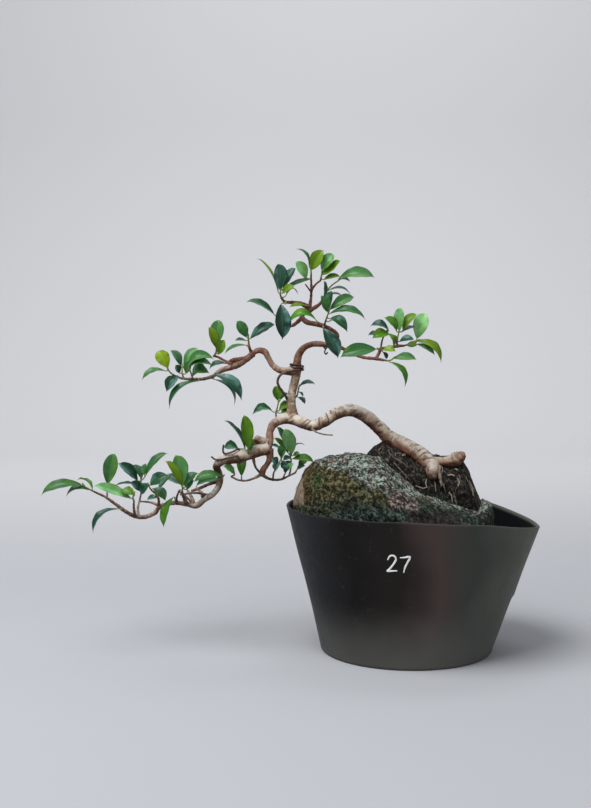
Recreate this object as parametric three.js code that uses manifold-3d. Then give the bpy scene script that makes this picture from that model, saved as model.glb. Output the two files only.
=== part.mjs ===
// A Chinese banyan trained as a low cascade over a rock, standing in a thin black plastic tub.
// Millimetres, +Z up. The origin is the centre of the tub's underside, +X is to the viewer's right
// and +Y goes away from the viewer.
import * as THREE from "three";
import { mergeVertices } from "three/addons/utils/BufferGeometryUtils.js";
import Module from "manifold-3d";

const wasm = await Module();
wasm.setup();

// Driving dimensions
const GAP = 0.35; // clearance between neighbouring pieces
const TUB = {
  height: 150, // rim height round most of the tub
  dip: 20, // how far the rim drops at its right corner
  foot: 88, // radius of the flat underside
  heel: 90, // radius where the wall begins
  heelHeight: 4,
  rimX: 131, // half width of the rim, which is pulled into an oval
  rimY: 112,
  rimShift: 5.6, // the rim's centre lies this far right of the foot's
  wall: 2.4,
  floor: 2.8,
  drainRadius: 5,
  drainRing: 55,
  drains: 5,
};
const SOIL_LEVEL = 108;
const BLADE = {
  rib: 0.45, // half thickness along the rib
  margin: 0.32, // half thickness at the margins
  cup: 0.24, // how far the margins lift, over the half width
  cupFrom: 2, // only sections wider than this, from the rib to a margin, are cupped
  flatBelow: 12.6, // leaves narrower than this are flat
};
const STALK = { radius: 0.62, shoot: 0.85, reach: 2.6 }; // a leaf stalk, a young shoot, a stalk's own ring
const WIRE = { thick: 1, thin: 0.75, stand: 0.6 }; // radii, and how far wire stands off the bark

// The front view is laid out on the plane y = 0 as an eye at this point sees it.
const EYE = new THREE.Vector3(-116, -1340, 361);

const SPREAD = 2.3; // the tables below give limb depths as shares of this

// The point at depth y that this eye sees at x, z of the front plane.
function place(x, z, y) {
  const reach = (y - EYE.y) / -EYE.y;
  return new THREE.Vector3(EYE.x + (x - EYE.x) * reach, y, EYE.z + (z - EYE.z) * reach);
}

// How far a point is seen from x, z of the front plane.
function seenFrom(point, x, z) {
  const reach = (point.y - EYE.y) / -EYE.y;
  return Math.hypot(EYE.x + (point.x - EYE.x) / reach - x, EYE.z + (point.z - EYE.z) / reach - z);
}

// Meshes and solids

function geometryOf(corners, faces) {
  const geometry = new THREE.BufferGeometry();
  geometry.setAttribute("position", new THREE.Float32BufferAttribute(corners.flat(), 3));
  geometry.setIndex(faces.flat());
  return geometry;
}

function solidOf(geometry) {
  const plain = geometry.clone();
  plain.deleteAttribute("normal");
  plain.deleteAttribute("uv");
  const merged = mergeVertices(plain, 1e-4);
  return new wasm.Manifold(
    new wasm.Mesh({
      numProp: 3,
      vertProperties: new Float32Array(merged.attributes.position.array),
      triVerts: new Uint32Array(merged.index.array),
    }),
  );
}

function joined(solids) {
  return wasm.Manifold.union(solids);
}

// The largest body of a solid: what a cut leaves loose is dropped.
function mainBody(solid) {
  return solid.decompose().sort((a, b) => b.volume() - a.volume())[0];
}

function meshOf(name, solid, material) {
  const { vertProperties, triVerts } = solid.getMesh();
  const geometry = new THREE.BufferGeometry();
  geometry.setAttribute("position", new THREE.BufferAttribute(vertProperties, 3));
  geometry.setIndex(new THREE.BufferAttribute(triVerts, 1));
  geometry.computeVertexNormals();
  const mesh = new THREE.Mesh(geometry, material);
  mesh.name = name;
  return mesh;
}

// Faces between rings of equal corner count, closed by a fan to the first and the last corner of all.
function skin(rings, start, end) {
  const sides = rings[0].length;
  const corners = [start, ...rings.flat(), end];
  const at = (ring, side) => 1 + ring * sides + (side % sides);
  const last = corners.length - 1;
  const faces = [];
  for (let side = 0; side < sides; side++) {
    faces.push([0, at(0, side + 1), at(0, side)]);
    for (let ring = 0; ring < rings.length - 1; ring++) {
      faces.push([at(ring, side), at(ring, side + 1), at(ring + 1, side + 1)]);
      faces.push([at(ring, side), at(ring + 1, side + 1), at(ring + 1, side)]);
    }
    faces.push([last, at(rings.length - 1, side), at(rings.length - 1, side + 1)]);
  }
  return geometryOf(corners, faces);
}

// Directions along a row of points, with a normal that is carried along without twisting.
function frames(points, firstNormal = null) {
  const out = [];
  let normal = firstNormal;
  points.forEach((point, i) => {
    const before = points[Math.max(i - 1, 0)];
    const after = points[Math.min(i + 1, points.length - 1)];
    const along = after.clone().sub(before).normalize();
    if (!normal) {
      const guess = Math.abs(along.y) < 0.9 ? new THREE.Vector3(0, -1, 0) : new THREE.Vector3(1, 0, 0);
      normal = guess;
    }
    normal = normal.clone().addScaledVector(along, -normal.dot(along)).normalize();
    out.push({ point, along, normal, across: along.clone().cross(normal) });
  });
  return out;
}

// A round bar of changing radius along a row of points, with domed ends.
function sweep(points, radii, sides, lumps = 0) {
  const steps = frames(points);
  const rings = steps.map(({ point, normal, across }, i) =>
    Array.from({ length: sides }, (_, side) => {
      const turn = (2 * Math.PI * side) / sides;
      const swell = 1 + lumps * Math.sin(1.9 * i + 2 * turn) * Math.cos(0.7 * i - turn);
      const r = radii[i] * swell;
      return point
        .clone()
        .addScaledVector(normal, r * Math.cos(turn))
        .addScaledVector(across, r * Math.sin(turn))
        .toArray();
    }),
  );
  const dome = 0.5;
  const first = steps[0];
  const last = steps.at(-1);
  const start = first.point.clone().addScaledVector(first.along, -dome * radii[0]);
  const end = last.point.clone().addScaledVector(last.along, dome * radii.at(-1));
  return skin(rings, start.toArray(), end.toArray());
}

// Points and radii along a limb given as rows of x, z, y and radius, a ring about every two radii.
function alongLimb(rows, spacing, grow = 0) {
  const curve = new THREE.CatmullRomCurve3(
    rows.map(([x, z, y]) => place(x, z, SPREAD * y)),
    false,
    "centripetal",
  );
  const points = [];
  const radii = [];
  const spans = rows.length - 1;
  for (let span = 0; span < spans; span++) {
    const [x, z, , r] = rows[span];
    const [nextX, nextZ, , nextR] = rows[span + 1];
    const pieces = Math.max(1, Math.round(Math.hypot(nextX - x, nextZ - z) / spacing));
    for (let piece = 0; piece < pieces; piece++) {
      points.push(curve.getPoint((span + piece / pieces) / spans));
      radii.push(r + ((nextR - r) * piece) / pieces + grow);
    }
  }
  points.push(curve.getPoint(1));
  radii.push(rows.at(-1)[3] + grow);
  return { points, radii };
}

// Tub

function rimHeight(turn) {
  return TUB.height - TUB.dip * ((1 + Math.cos(turn)) / 2) ** 4.7;
}

// A ring of the tub's wall: rise 0 is the heel and 1 the rim, and inset moves it inwards.
function tubRing(rise, inset, sides) {
  return Array.from({ length: sides }, (_, side) => {
    const turn = (2 * Math.PI * side) / sides;
    const heel = TUB.heel - inset;
    const x = heel + (TUB.rimX - inset - heel) * rise;
    const y = heel + (TUB.rimY - inset - heel) * rise;
    const z = TUB.heelHeight + (rimHeight(turn) - TUB.heelHeight) * rise;
    return [TUB.rimShift * rise + x * Math.cos(turn), y * Math.sin(turn), z];
  });
}

function circle(radius, z, sides) {
  return Array.from({ length: sides }, (_, side) => {
    const turn = (2 * Math.PI * side) / sides;
    return [radius * Math.cos(turn), radius * Math.sin(turn), z];
  });
}

function tubSolid() {
  const sides = 36;
  const rings = [
    circle(TUB.foot, 0, sides),
    circle(TUB.heel - 0.7, 1.3, sides),
    tubRing(0, 0, sides),
    tubRing(1, 0, sides),
    tubRing(1, TUB.wall, sides),
    tubRing(0, TUB.wall, sides),
    circle(TUB.heel - TUB.wall - 4, TUB.floor, sides),
  ];
  const shell = solidOf(skin(rings, [0, 0, 0], [0, 0, TUB.floor]));
  const drills = Array.from({ length: TUB.drains }, (_, i) => {
    const turn = (2 * Math.PI * (i + 0.5)) / TUB.drains;
    const drill = new THREE.CylinderGeometry(TUB.drainRadius, TUB.drainRadius, 12, 8);
    drill.rotateX(Math.PI / 2);
    drill.translate(TUB.drainRing * Math.cos(turn), TUB.drainRing * Math.sin(turn), 0);
    return solidOf(drill);
  });
  return shell.subtract(joined(drills));
}

// Rock, root mat and soil

// Rows of a stone or mat lofted along x: x, top, bottom, half depth, depth of the middle.
const ROCK = [
  [-118.5, 156, 147, 7, -6],
  [-114, 170, 130, 18, -8],
  [-106, 186, 106, 33, -9],
  [-95, 196, 84, 43, -9],
  [-80, 201, 72, 54, -9],
  [-62, 206.5, 54, 64, -9],
  [-45, 206, 52, 69, -9],
  [-26, 200, 52, 72, -9],
  [-6, 184, 52, 73, -9],
  [14, 169, 54, 72, -9],
  [34, 160, 58, 68, -8],
  [54, 152, 64, 60, -6],
  [70, 147, 74, 48, -4],
  [80, 157, 88, 34, -2],
  [87, 152, 108, 18, 0],
  [90, 142, 122, 7, 0],
];
const MAT = [
  [-41, 203, 178, 12, 10],
  [-34, 210, 168, 24, 12],
  [-24, 215, 152, 33, 14],
  [-8, 209, 132, 39, 16],
  [10, 203, 122, 43, 17],
  [28, 198, 118, 44, 17],
  [46, 198, 116, 42, 16],
  [58, 198, 116, 38, 15],
  [66, 182, 116, 34, 14],
  [74, 162, 116, 28, 12],
  [81, 146, 118, 19, 10],
];

// Slow lumps, finer crags and chips over a surface, as a height outwards.
function crags(x, y, z, coarse, fine) {
  const lumps = Math.sin(x / 19 + 1.3) * Math.sin(y / 15 + 0.7) + Math.sin(z / 17 + x / 31);
  const ridges = Math.sin(x / 6.3 + z / 8.1) * Math.sin(y / 6.9 - x / 9.7) * Math.sin(z / 5.7 + y / 11);
  const chips = Math.sin(12.9 * x + 78.2 * y + 37.7 * z);
  return coarse * lumps + fine * (ridges + 0.5 * chips);
}

// The value of a column of rows at x, straight between the rows.
function between(rows, column, x) {
  const next = Math.max(1, rows.findIndex((row) => row[0] >= x));
  const [before, after] = [rows[next - 1], rows[next]];
  return THREE.MathUtils.mapLinear(x, before[0], after[0], before[column], after[column]);
}

// A lump lofted along x through rows as above. A section is a boxy oval, roughened by crags.
function loft(rows, { across, around, boxy, coarse, fine, grow = 0 }) {
  const [left, right] = [rows[0][0], rows.at(-1)[0]];
  const rings = Array.from({ length: across }, (_, i) => {
    const share = (1 - Math.cos((Math.PI * (i + 0.6)) / (across + 0.2))) / 2;
    const x = left + (right - left) * (0.6 * share + (0.4 * (i + 0.5)) / across);
    const [top, bottom, half, middle] = [1, 2, 3, 4].map((column) => between(rows, column, x));
    const ease = Math.sin(Math.PI * share) ** 0.5; // crags fade at the two ends
    return Array.from({ length: around }, (_, side) => {
      const even = (2 * Math.PI * side) / around;
      const turn = even + 0.4 * Math.cos(even); // more corners above than below
      const c = Math.cos(turn);
      const s = Math.sin(turn);
      const round = (Math.abs(c) ** boxy + Math.abs(s) ** boxy) ** (-1 / boxy);
      const y = middle + half * c * round;
      const z = (top + bottom) / 2 + ((top - bottom) / 2) * s * round;
      const out = grow + ease * crags(x, y, z, coarse, fine);
      return [x, y + out * c, z + out * s];
    });
  });
  const cap = (row, way) => [row[0] + way * grow, row[4], (row[1] + row[2]) / 2];
  return solidOf(skin(rings, cap(rows[0], -1), cap(rows.at(-1), 1)));
}

function rockSolid(grow = 0) {
  return loft(ROCK, { across: 22, around: 20, boxy: 2.7, coarse: 2.2, fine: 3.4, grow });
}

function matSolid() {
  return loft(MAT, { across: 15, around: 16, boxy: 2.2, coarse: 1.2, fine: 2.2 });
}

function soilSolid() {
  const sides = 24;
  const inset = TUB.wall + 1.2;
  const level = (SOIL_LEVEL - TUB.heelHeight) / (TUB.height - TUB.heelHeight);
  const edge = tubRing(level, inset, sides);
  const surface = [1, 0.72, 0.42].map((share, i) =>
    edge.map(([x, y], side) => {
      const rough = i ? 1.6 * Math.sin(2.3 * side + 3 * i) + 3 * i : 0;
      return [x * share, y * share, SOIL_LEVEL + rough];
    }),
  );
  const rings = [
    circle(TUB.heel - inset - 4.5, TUB.floor + GAP, sides),
    tubRing(0, inset, sides),
    ...surface,
  ];
  return solidOf(skin(rings, [0, 0, TUB.floor + GAP], [0, 0, SOIL_LEVEL + 7]));
}

// Wood

// Every limb as rows of x, z, y and radius, from its thick end.
const WOOD = {
  trunk: [
    [27.5, 177.5, -10, 3.6],
    [26.5, 183.5, -9, 6.2],
    [25, 191, -6, 8.2],
    [16, 200.5, -3, 8.8],
    [0, 211, 0, 7.8],
    [-19, 221, 3, 7.6],
    [-32, 233.5, 3, 6.8],
    [-46, 244.5, 1, 6.6],
    [-60, 249, 0, 6.4],
    [-74, 245.5, -2, 6.4],
    [-87, 237.5, -4, 6.1],
    [-98, 233, -4, 5.9],
    [-108, 236, -3, 5.6],
    [-119, 240, 0, 5.6],
    [-130, 239.5, 0, 4.8],
    [-138.5, 235, -1, 4.4],
    [-142.3, 227, -3, 3.8],
    [-143, 218, -4, 4.5],
    [-146.5, 210, -5, 5.8],
  ],
  stubRoot: [
    [24, 193, -3, 6],
    [36, 195.5, -3, 4.2],
    [44, 196, -3.5, 5.5],
    [50, 198, -4, 7.3],
    [55, 201, -4, 6.4],
    [58, 204, -4, 4],
  ],
  sideRoot: [
    [31, 189, -7, 3],
    [33.5, 181.5, -10.5, 1.5],
    [36, 170, -12.5, 1],
  ],
  backRoot: [
    [18, 199, 1, 6],
    [20, 194, 12, 4.4],
    [24, 184, 22, 2.6],
  ],
  rootlet: [
    [-99, 229.5, -6, 1],
    [-93.5, 226, -7.5, 0.8],
    [-86, 223.9, -8.5, 0.7],
    [-77.5, 223.2, -9, 0.6],
  ],
  low: [
    [-145, 210, -5, 5.6],
    [-155, 206.8, -6, 5.9],
    [-165, 203, -7, 5.6],
    [-175, 200.8, -8, 6.2],
    [-185, 198.8, -8, 5.9],
    [-193, 196.2, -7, 4.9],
    [-198, 190.5, -4, 4],
    [-196, 185.3, 0, 3.4],
    [-193.8, 178, 2, 3.1],
    [-196, 169.5, 2, 3.3],
    [-202, 161.5, 0, 3.2],
    [-211, 155.5, -2, 3],
    [-219, 149.5, -3, 3.1],
    [-229, 151, -2, 2.4],
    [-240, 152.5, 0, 2.2],
    [-250, 151, 3, 2.2],
    [-257.5, 148, 5, 2.4],
    [-262.5, 142, 6, 2.4],
    [-272, 137.8, 5, 2.3],
    [-283, 138.5, 2, 2.2],
    [-293, 143.5, 0, 1.9],
    [-303, 151, -1, 1.6],
    [-314, 158.8, -3, 1.3],
    [-323, 163, -5, 1],
  ],
  cutStub: [
    [-147, 214, -5, 4.4],
    [-157.5, 219.8, -6, 3.8],
  ],
  drop: [
    [-144, 208, -5, 4],
    [-142.5, 200, -5, 3.2],
    [-145.5, 193, -5, 2.8],
    [-149.5, 187, -4, 3.2],
    [-150.5, 182, -3, 2.6],
  ],
  dropRight: [
    [-151, 182.5, -3, 1.8],
    [-146, 178.8, -2, 1.5],
    [-139, 176.7, 0, 1.4],
    [-130, 177.3, 3, 1.2],
    [-123, 180.7, 5, 1],
    [-116, 184, 6, 0.9],
  ],
  dropLeft: [
    [-151, 182.5, -3, 1.6],
    [-160, 177.8, -6, 1.2],
    [-168, 175.6, -8, 1.1],
    [-176, 176.6, -9, 1],
    [-183, 180, -8, 0.9],
  ],
  brace: [
    [-160, 200, -7, 1.4],
    [-157.5, 190, -6, 1.1],
    [-152, 183, -4, 1.2],
  ],
  leader: [
    [-118, 238, 0, 5.4],
    [-120, 251, 1, 4.8],
    [-120.3, 262, 2, 4.3],
    [-118.5, 272, 3, 4.3],
    [-116, 282, 3, 4.5],
    [-115, 290, 3, 5],
    [-114.5, 298, 3, 4.3],
    [-112.3, 307, 3, 3.6],
    [-107, 313.8, 2, 3.2],
    [-99, 317.3, 1, 3.1],
    [-90, 317.6, -1, 3],
    [-81, 316, -3, 2.4],
  ],
  right: [
    [-84, 316.7, -3, 2.2],
    [-70, 314, -4, 1.8],
    [-58, 308, -6, 1.6],
    [-46, 303.7, -8, 1.5],
    [-33, 302.3, -9, 1.6],
    [-25, 301, -9, 1.2],
  ],
  rightUp: [
    [-33, 302.5, -9, 1.4],
    [-30, 308, -8, 1.6],
    [-28, 312, -7, 2.2],
    [-20, 313.4, -6, 1.4],
    [-11.5, 315.3, -5, 1.7],
    [-4, 315.8, -5, 1.1],
  ],
  apex: [
    [-83, 316.5, -3, 2.3],
    [-75.5, 320, 1, 2],
    [-73, 327, 3, 2],
    [-78.5, 332, 3, 2.1],
    [-87, 336, 2, 2.5],
    [-96, 338.3, 1, 2.7],
    [-104, 340, 1, 2.8],
    [-109.3, 345, 2, 2.4],
    [-107, 350.5, 3, 2.4],
    [-102, 354.5, 3, 2.6],
  ],
  apexLeft: [
    [-103, 355.5, 3, 2.3],
    [-110, 358.8, 2, 2.2],
    [-118, 360, 1, 1.9],
    [-127, 361, 0, 1.5],
    [-130.5, 365, -1, 1.1],
  ],
  apexUnder: [
    [-109.3, 344.5, 2, 1.8],
    [-113, 341, 4, 2],
    [-119, 336.5, 6, 1.6],
    [-126, 335, 8, 1],
  ],
  apexRight: [
    [-101.5, 352, 3, 2.1],
    [-93, 357, 2, 1.9],
    [-88, 362, 1, 1.3],
  ],
  apexStem: [
    [-101.5, 355, 3, 1.7],
    [-100, 366, 3, 1.3],
    [-99.7, 376, 2, 1.2],
    [-100, 386, 1, 0.9],
  ],
  apexFork: [
    [-99.6, 373, 2, 1.1],
    [-95, 379, 0, 1],
    [-90, 383, -1, 0.9],
  ],
  apexSpur: [
    [-100, 371, 3, 0.8],
    [-106, 379, 4, 0.6],
  ],
  mid: [
    [-115, 290.5, 3, 4.4],
    [-122, 289.5, 2, 4],
    [-131, 290.3, 3, 3.4],
    [-139.5, 295.5, 6, 3.1],
    [-144, 303, 9, 3],
    [-147.7, 309.3, 11, 3],
    [-153.5, 311, 11, 2.9],
    [-159.5, 308.3, 10, 2.7],
    [-166, 302, 8, 3.2],
    [-174.5, 296.5, 6, 3.6],
    [-184, 293.3, 4, 3.1],
    [-193, 290.2, 2, 2.6],
    [-201, 284.5, 1, 2],
    [-211, 281.5, 0, 1.7],
    [-222, 281.3, -1, 1.5],
    [-232, 282, -2, 1.3],
    [-239, 283.7, -3, 1],
  ],
  midBurl: [
    [-160, 307.5, 10, 2.4],
    [-166, 302.5, 8.5, 3.2],
    [-173, 300.8, 7.5, 3.6],
    [-180, 300, 7, 3.3],
    [-185, 298.5, 6, 1.8],
  ],
  midTwig: [
    [-182, 296.5, 4, 1.7],
    [-190, 300.8, 6, 1.3],
    [-197, 304.5, 8, 1.2],
    [-201, 305, 9, 0.9],
  ],
  midSpur: [
    [-161, 308, 10, 1.7],
    [-163.5, 314, 9, 1.2],
    [-164.3, 320, 9, 0.9],
  ],
  farFront: [
    [-283, 138.5, 1, 1.5],
    [-284.3, 148, -5, 1.2],
    [-284, 154.5, -9, 0.9],
  ],
  farBack: [
    [-279.5, 138.5, 3, 1.5],
    [-280, 147, 8, 1.2],
    [-278.5, 154, 12, 1],
  ],
  farLink: [
    [-257.5, 149.5, 5, 1.5],
    [-267, 153, 9, 1.1],
    [-278.5, 154, 12, 0.9],
  ],
  farRiser: [
    [-258, 149, 5, 1.5],
    [-258.7, 157, 1, 1.2],
    [-262, 163, -3, 0.9],
  ],
  hubFront: [
    [-229, 151, -2, 2.1],
    [-232, 158, -6, 1.7],
    [-234, 164, -9, 1.2],
  ],
  hubBack: [
    [-222, 150, -3, 2.1],
    [-224, 158, 4, 1.7],
    [-228, 165, 10, 1.2],
  ],
  hubRight: [
    [-211, 156, -2, 2.1],
    [-214, 163, 2, 1.7],
    [-219, 168, 5, 1.2],
  ],
  hubLow: [
    [-240, 152.5, 0, 1.1],
    [-239, 160, -4, 1],
    [-236, 166, -7, 0.8],
  ],
  hubCross: [
    [-222, 151, -3, 1.3],
    [-231, 160, 0, 1.1],
    [-238, 165, 2, 0.8],
  ],
  hubTie: [
    [-206, 160, 0, 1.5],
    [-220, 163, -3, 1.2],
    [-236, 161, -4, 0.9],
  ],
  hubTop: [
    [-194, 176, 2, 2.2],
    [-205, 172.5, 6, 1.8],
    [-214, 168.5, 8, 1.6],
    [-224, 165, 10, 1.3],
  ],
};

function limbSides(thickest) {
  if (thickest > 5) return 8;
  if (thickest > 3.4) return 7;
  return thickest > 1.9 ? 6 : 4;
}

function woodSolid(grow = 0) {
  const limbs = Object.values(WOOD).map((rows) => {
    const thickest = Math.max(...rows.map((row) => row[3]));
    const spacing = thickest > 5 ? 12 : 14;
    const { points, radii } = alongLimb(rows, spacing, grow);
    const lumps = thickest > 3 ? 0.07 : 0;
    return solidOf(sweep(points, radii, limbSides(thickest), lumps));
  });
  return joined(limbs);
}

// Training wire

// Points that wind round a limb between two shares of its length, standing off the bark.
function windings(rows, from, to, turns, thickness) {
  const { points, radii } = alongLimb(rows, 2);
  const steps = frames(points);
  const perTurn = 9;
  const count = Math.round(turns * perTurn);
  return Array.from({ length: count + 1 }, (_, i) => {
    const at = (from + ((to - from) * i) / count) * (points.length - 1);
    const low = Math.min(Math.floor(at), points.length - 2);
    const share = at - low;
    const { point, normal, across } = steps[low];
    const centre = point.clone().lerp(steps[low + 1].point, share);
    const out = 1.07 * THREE.MathUtils.lerp(radii[low], radii[low + 1], share) + thickness + WIRE.stand;
    const turn = (2 * Math.PI * i) / perTurn;
    return centre.addScaledVector(normal, out * Math.cos(turn)).addScaledVector(across, out * Math.sin(turn));
  });
}

// The wire on the low branch as rows of x, z, y: from its upright end up along the branch's front, round it,
// and back along the front to the bend.
const LOW_WIRE = [
  [-190.4, 213, -22.5],
  [-191.2, 207, -22.5],
  [-190, 204.2, -22],
  [-186.5, 204.2, -24],
  [-181, 206, -24.2],
  [-176, 208.6, -21.5],
  [-173.2, 206.2, -12],
  [-172.8, 200, -10.2],
  [-173.2, 193.6, -14.5],
  [-174.2, 193.2, -22],
  [-174.8, 197.5, -26.6],
  [-176.2, 201.2, -27],
  [-181, 200.6, -26.8],
  [-188, 198.8, -25.6],
  [-194, 197.4, -22.6],
  [-199.5, 198, -18.5],
  [-203.2, 200.6, -17],
];

function wireSolid(points, radius, pieces = 1) {
  const curve = new THREE.CatmullRomCurve3(points, false, "centripetal");
  const smooth = curve.getPoints(pieces * (points.length - 1));
  return solidOf(sweep(smooth, smooth.map(() => radius), 5));
}

// Leaves

// The corners of a section about a point of a stalk or of a leaf's rib: a flat one has four.
function leafSection(centre, across, up, half, deep, flat) {
  const cup = flat || half < BLADE.cupFrom ? 0 : BLADE.cup * half;
  const margin = (flat ? 0.8 : 0.7) * deep;
  const corner = (side, lift) =>
    centre
      .clone()
      .addScaledVector(across, side * half)
      .addScaledVector(up, lift + Math.abs(side) * cup)
      .toArray();
  if (flat) return [corner(-1, -margin), corner(1, -margin), corner(1, margin), corner(-1, margin)];
  const under = [corner(-1, -margin), corner(0, -deep), corner(1, -margin)];
  const over = [corner(1, margin), corner(0, deep), corner(-1, margin)];
  return [...under, ...over];
}

// One leaf on its path, which is its shoot or only the point where its stalk leaves the shoot. The
// blade is arched along its rib by bow.
function leafGeometry({ foot, tip, wide, normal, bow }, path, radius) {
  const flat = wide < BLADE.flatBelow;
  const shares = flat || Math.abs(bow) < 3 ? [0.2, 0.55, 0.87] : [0.15, 0.4, 0.68, 0.9];
  const span = tip.clone().sub(foot);
  const across = normal.clone().cross(span).normalize();
  const ribAt = (t) => foot.clone().addScaledVector(span, t).addScaledVector(normal, bow * 4 * t * (1 - t));
  const halfAt = (t) => (wide / 2) * Math.sin(Math.PI * t ** 1.25) ** 0.6;
  const blade = shares.map((t) => leafSection(ribAt(t), across, normal, halfAt(t), BLADE.rib, flat));
  const joint = ribAt(0.02);
  if (joint.distanceTo(path.at(-1)) > STALK.reach)
    blade.unshift(leafSection(joint, across, normal, STALK.radius, STALK.radius, flat));
  const back = frames([joint, ...path.toReversed()], normal).slice(1);
  const stalk = back.map((at) => leafSection(at.point, at.across, at.normal, radius, radius, flat));
  const root = back.at(-1).point.clone().addScaledVector(back.at(-1).along, 0.5 * radius);
  return skin([...stalk.toReversed(), ...blade], root.toArray(), tip.toArray());
}

// The blade's upper side: face 0 looks at the viewer, 90 looks up and shows the blade on edge.
function bladeNormal(foot, tip, face) {
  const span = tip.clone().sub(foot).normalize();
  const viewer = EYE.clone().sub(foot).normalize();
  viewer.addScaledVector(span, -viewer.dot(span)).normalize();
  const up = viewer.clone().cross(span).normalize();
  if (up.z < 0) up.negate();
  const turn = THREE.MathUtils.degToRad(face);
  return viewer.multiplyScalar(Math.cos(turn)).addScaledVector(up, Math.sin(turn));
}

// The point of a shoot that is seen nearest to x, z. One further out wins over one about as near.
function leavingPoint(points, x, z) {
  const scores = points.map((point, i) => seenFrom(point, x, z) - 0.15 * i);
  return points[scores.indexOf(Math.min(...scores))];
}

// A shoot with its leaves. A leaf is foot x, foot z, tip x, tip z, width, face, bow and lean in depth,
// and the one nearest to the shoot's end carries the shoot on.
function shootSolid({ stem, leaves }) {
  const rows = stem.map(([x, z, y]) => [x, z, y, STALK.shoot]);
  const { points } = alongLimb(rows, 10);
  const dense = alongLimb(rows, 1).points;
  const laid = leaves.map(([footX, footZ, tipX, tipZ, wide, face, bow, lean]) => {
    const start = leavingPoint(dense, footX, footZ);
    const foot = place(footX, footZ, start.y);
    const tip = place(tipX, tipZ, start.y + lean);
    return { start, foot, tip, wide, bow, normal: bladeNormal(foot, tip, face) };
  });
  const fromEnd = (leaf) => leaf.foot.distanceTo(points.at(-1));
  const [last, ...others] = laid.sort((a, b) => fromEnd(a) - fromEnd(b));
  const parts = others.map((leaf) => solidOf(leafGeometry(leaf, [leaf.start], STALK.radius)));
  return joined([solidOf(leafGeometry(last, points, STALK.shoot)), ...parts]);
}

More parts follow.
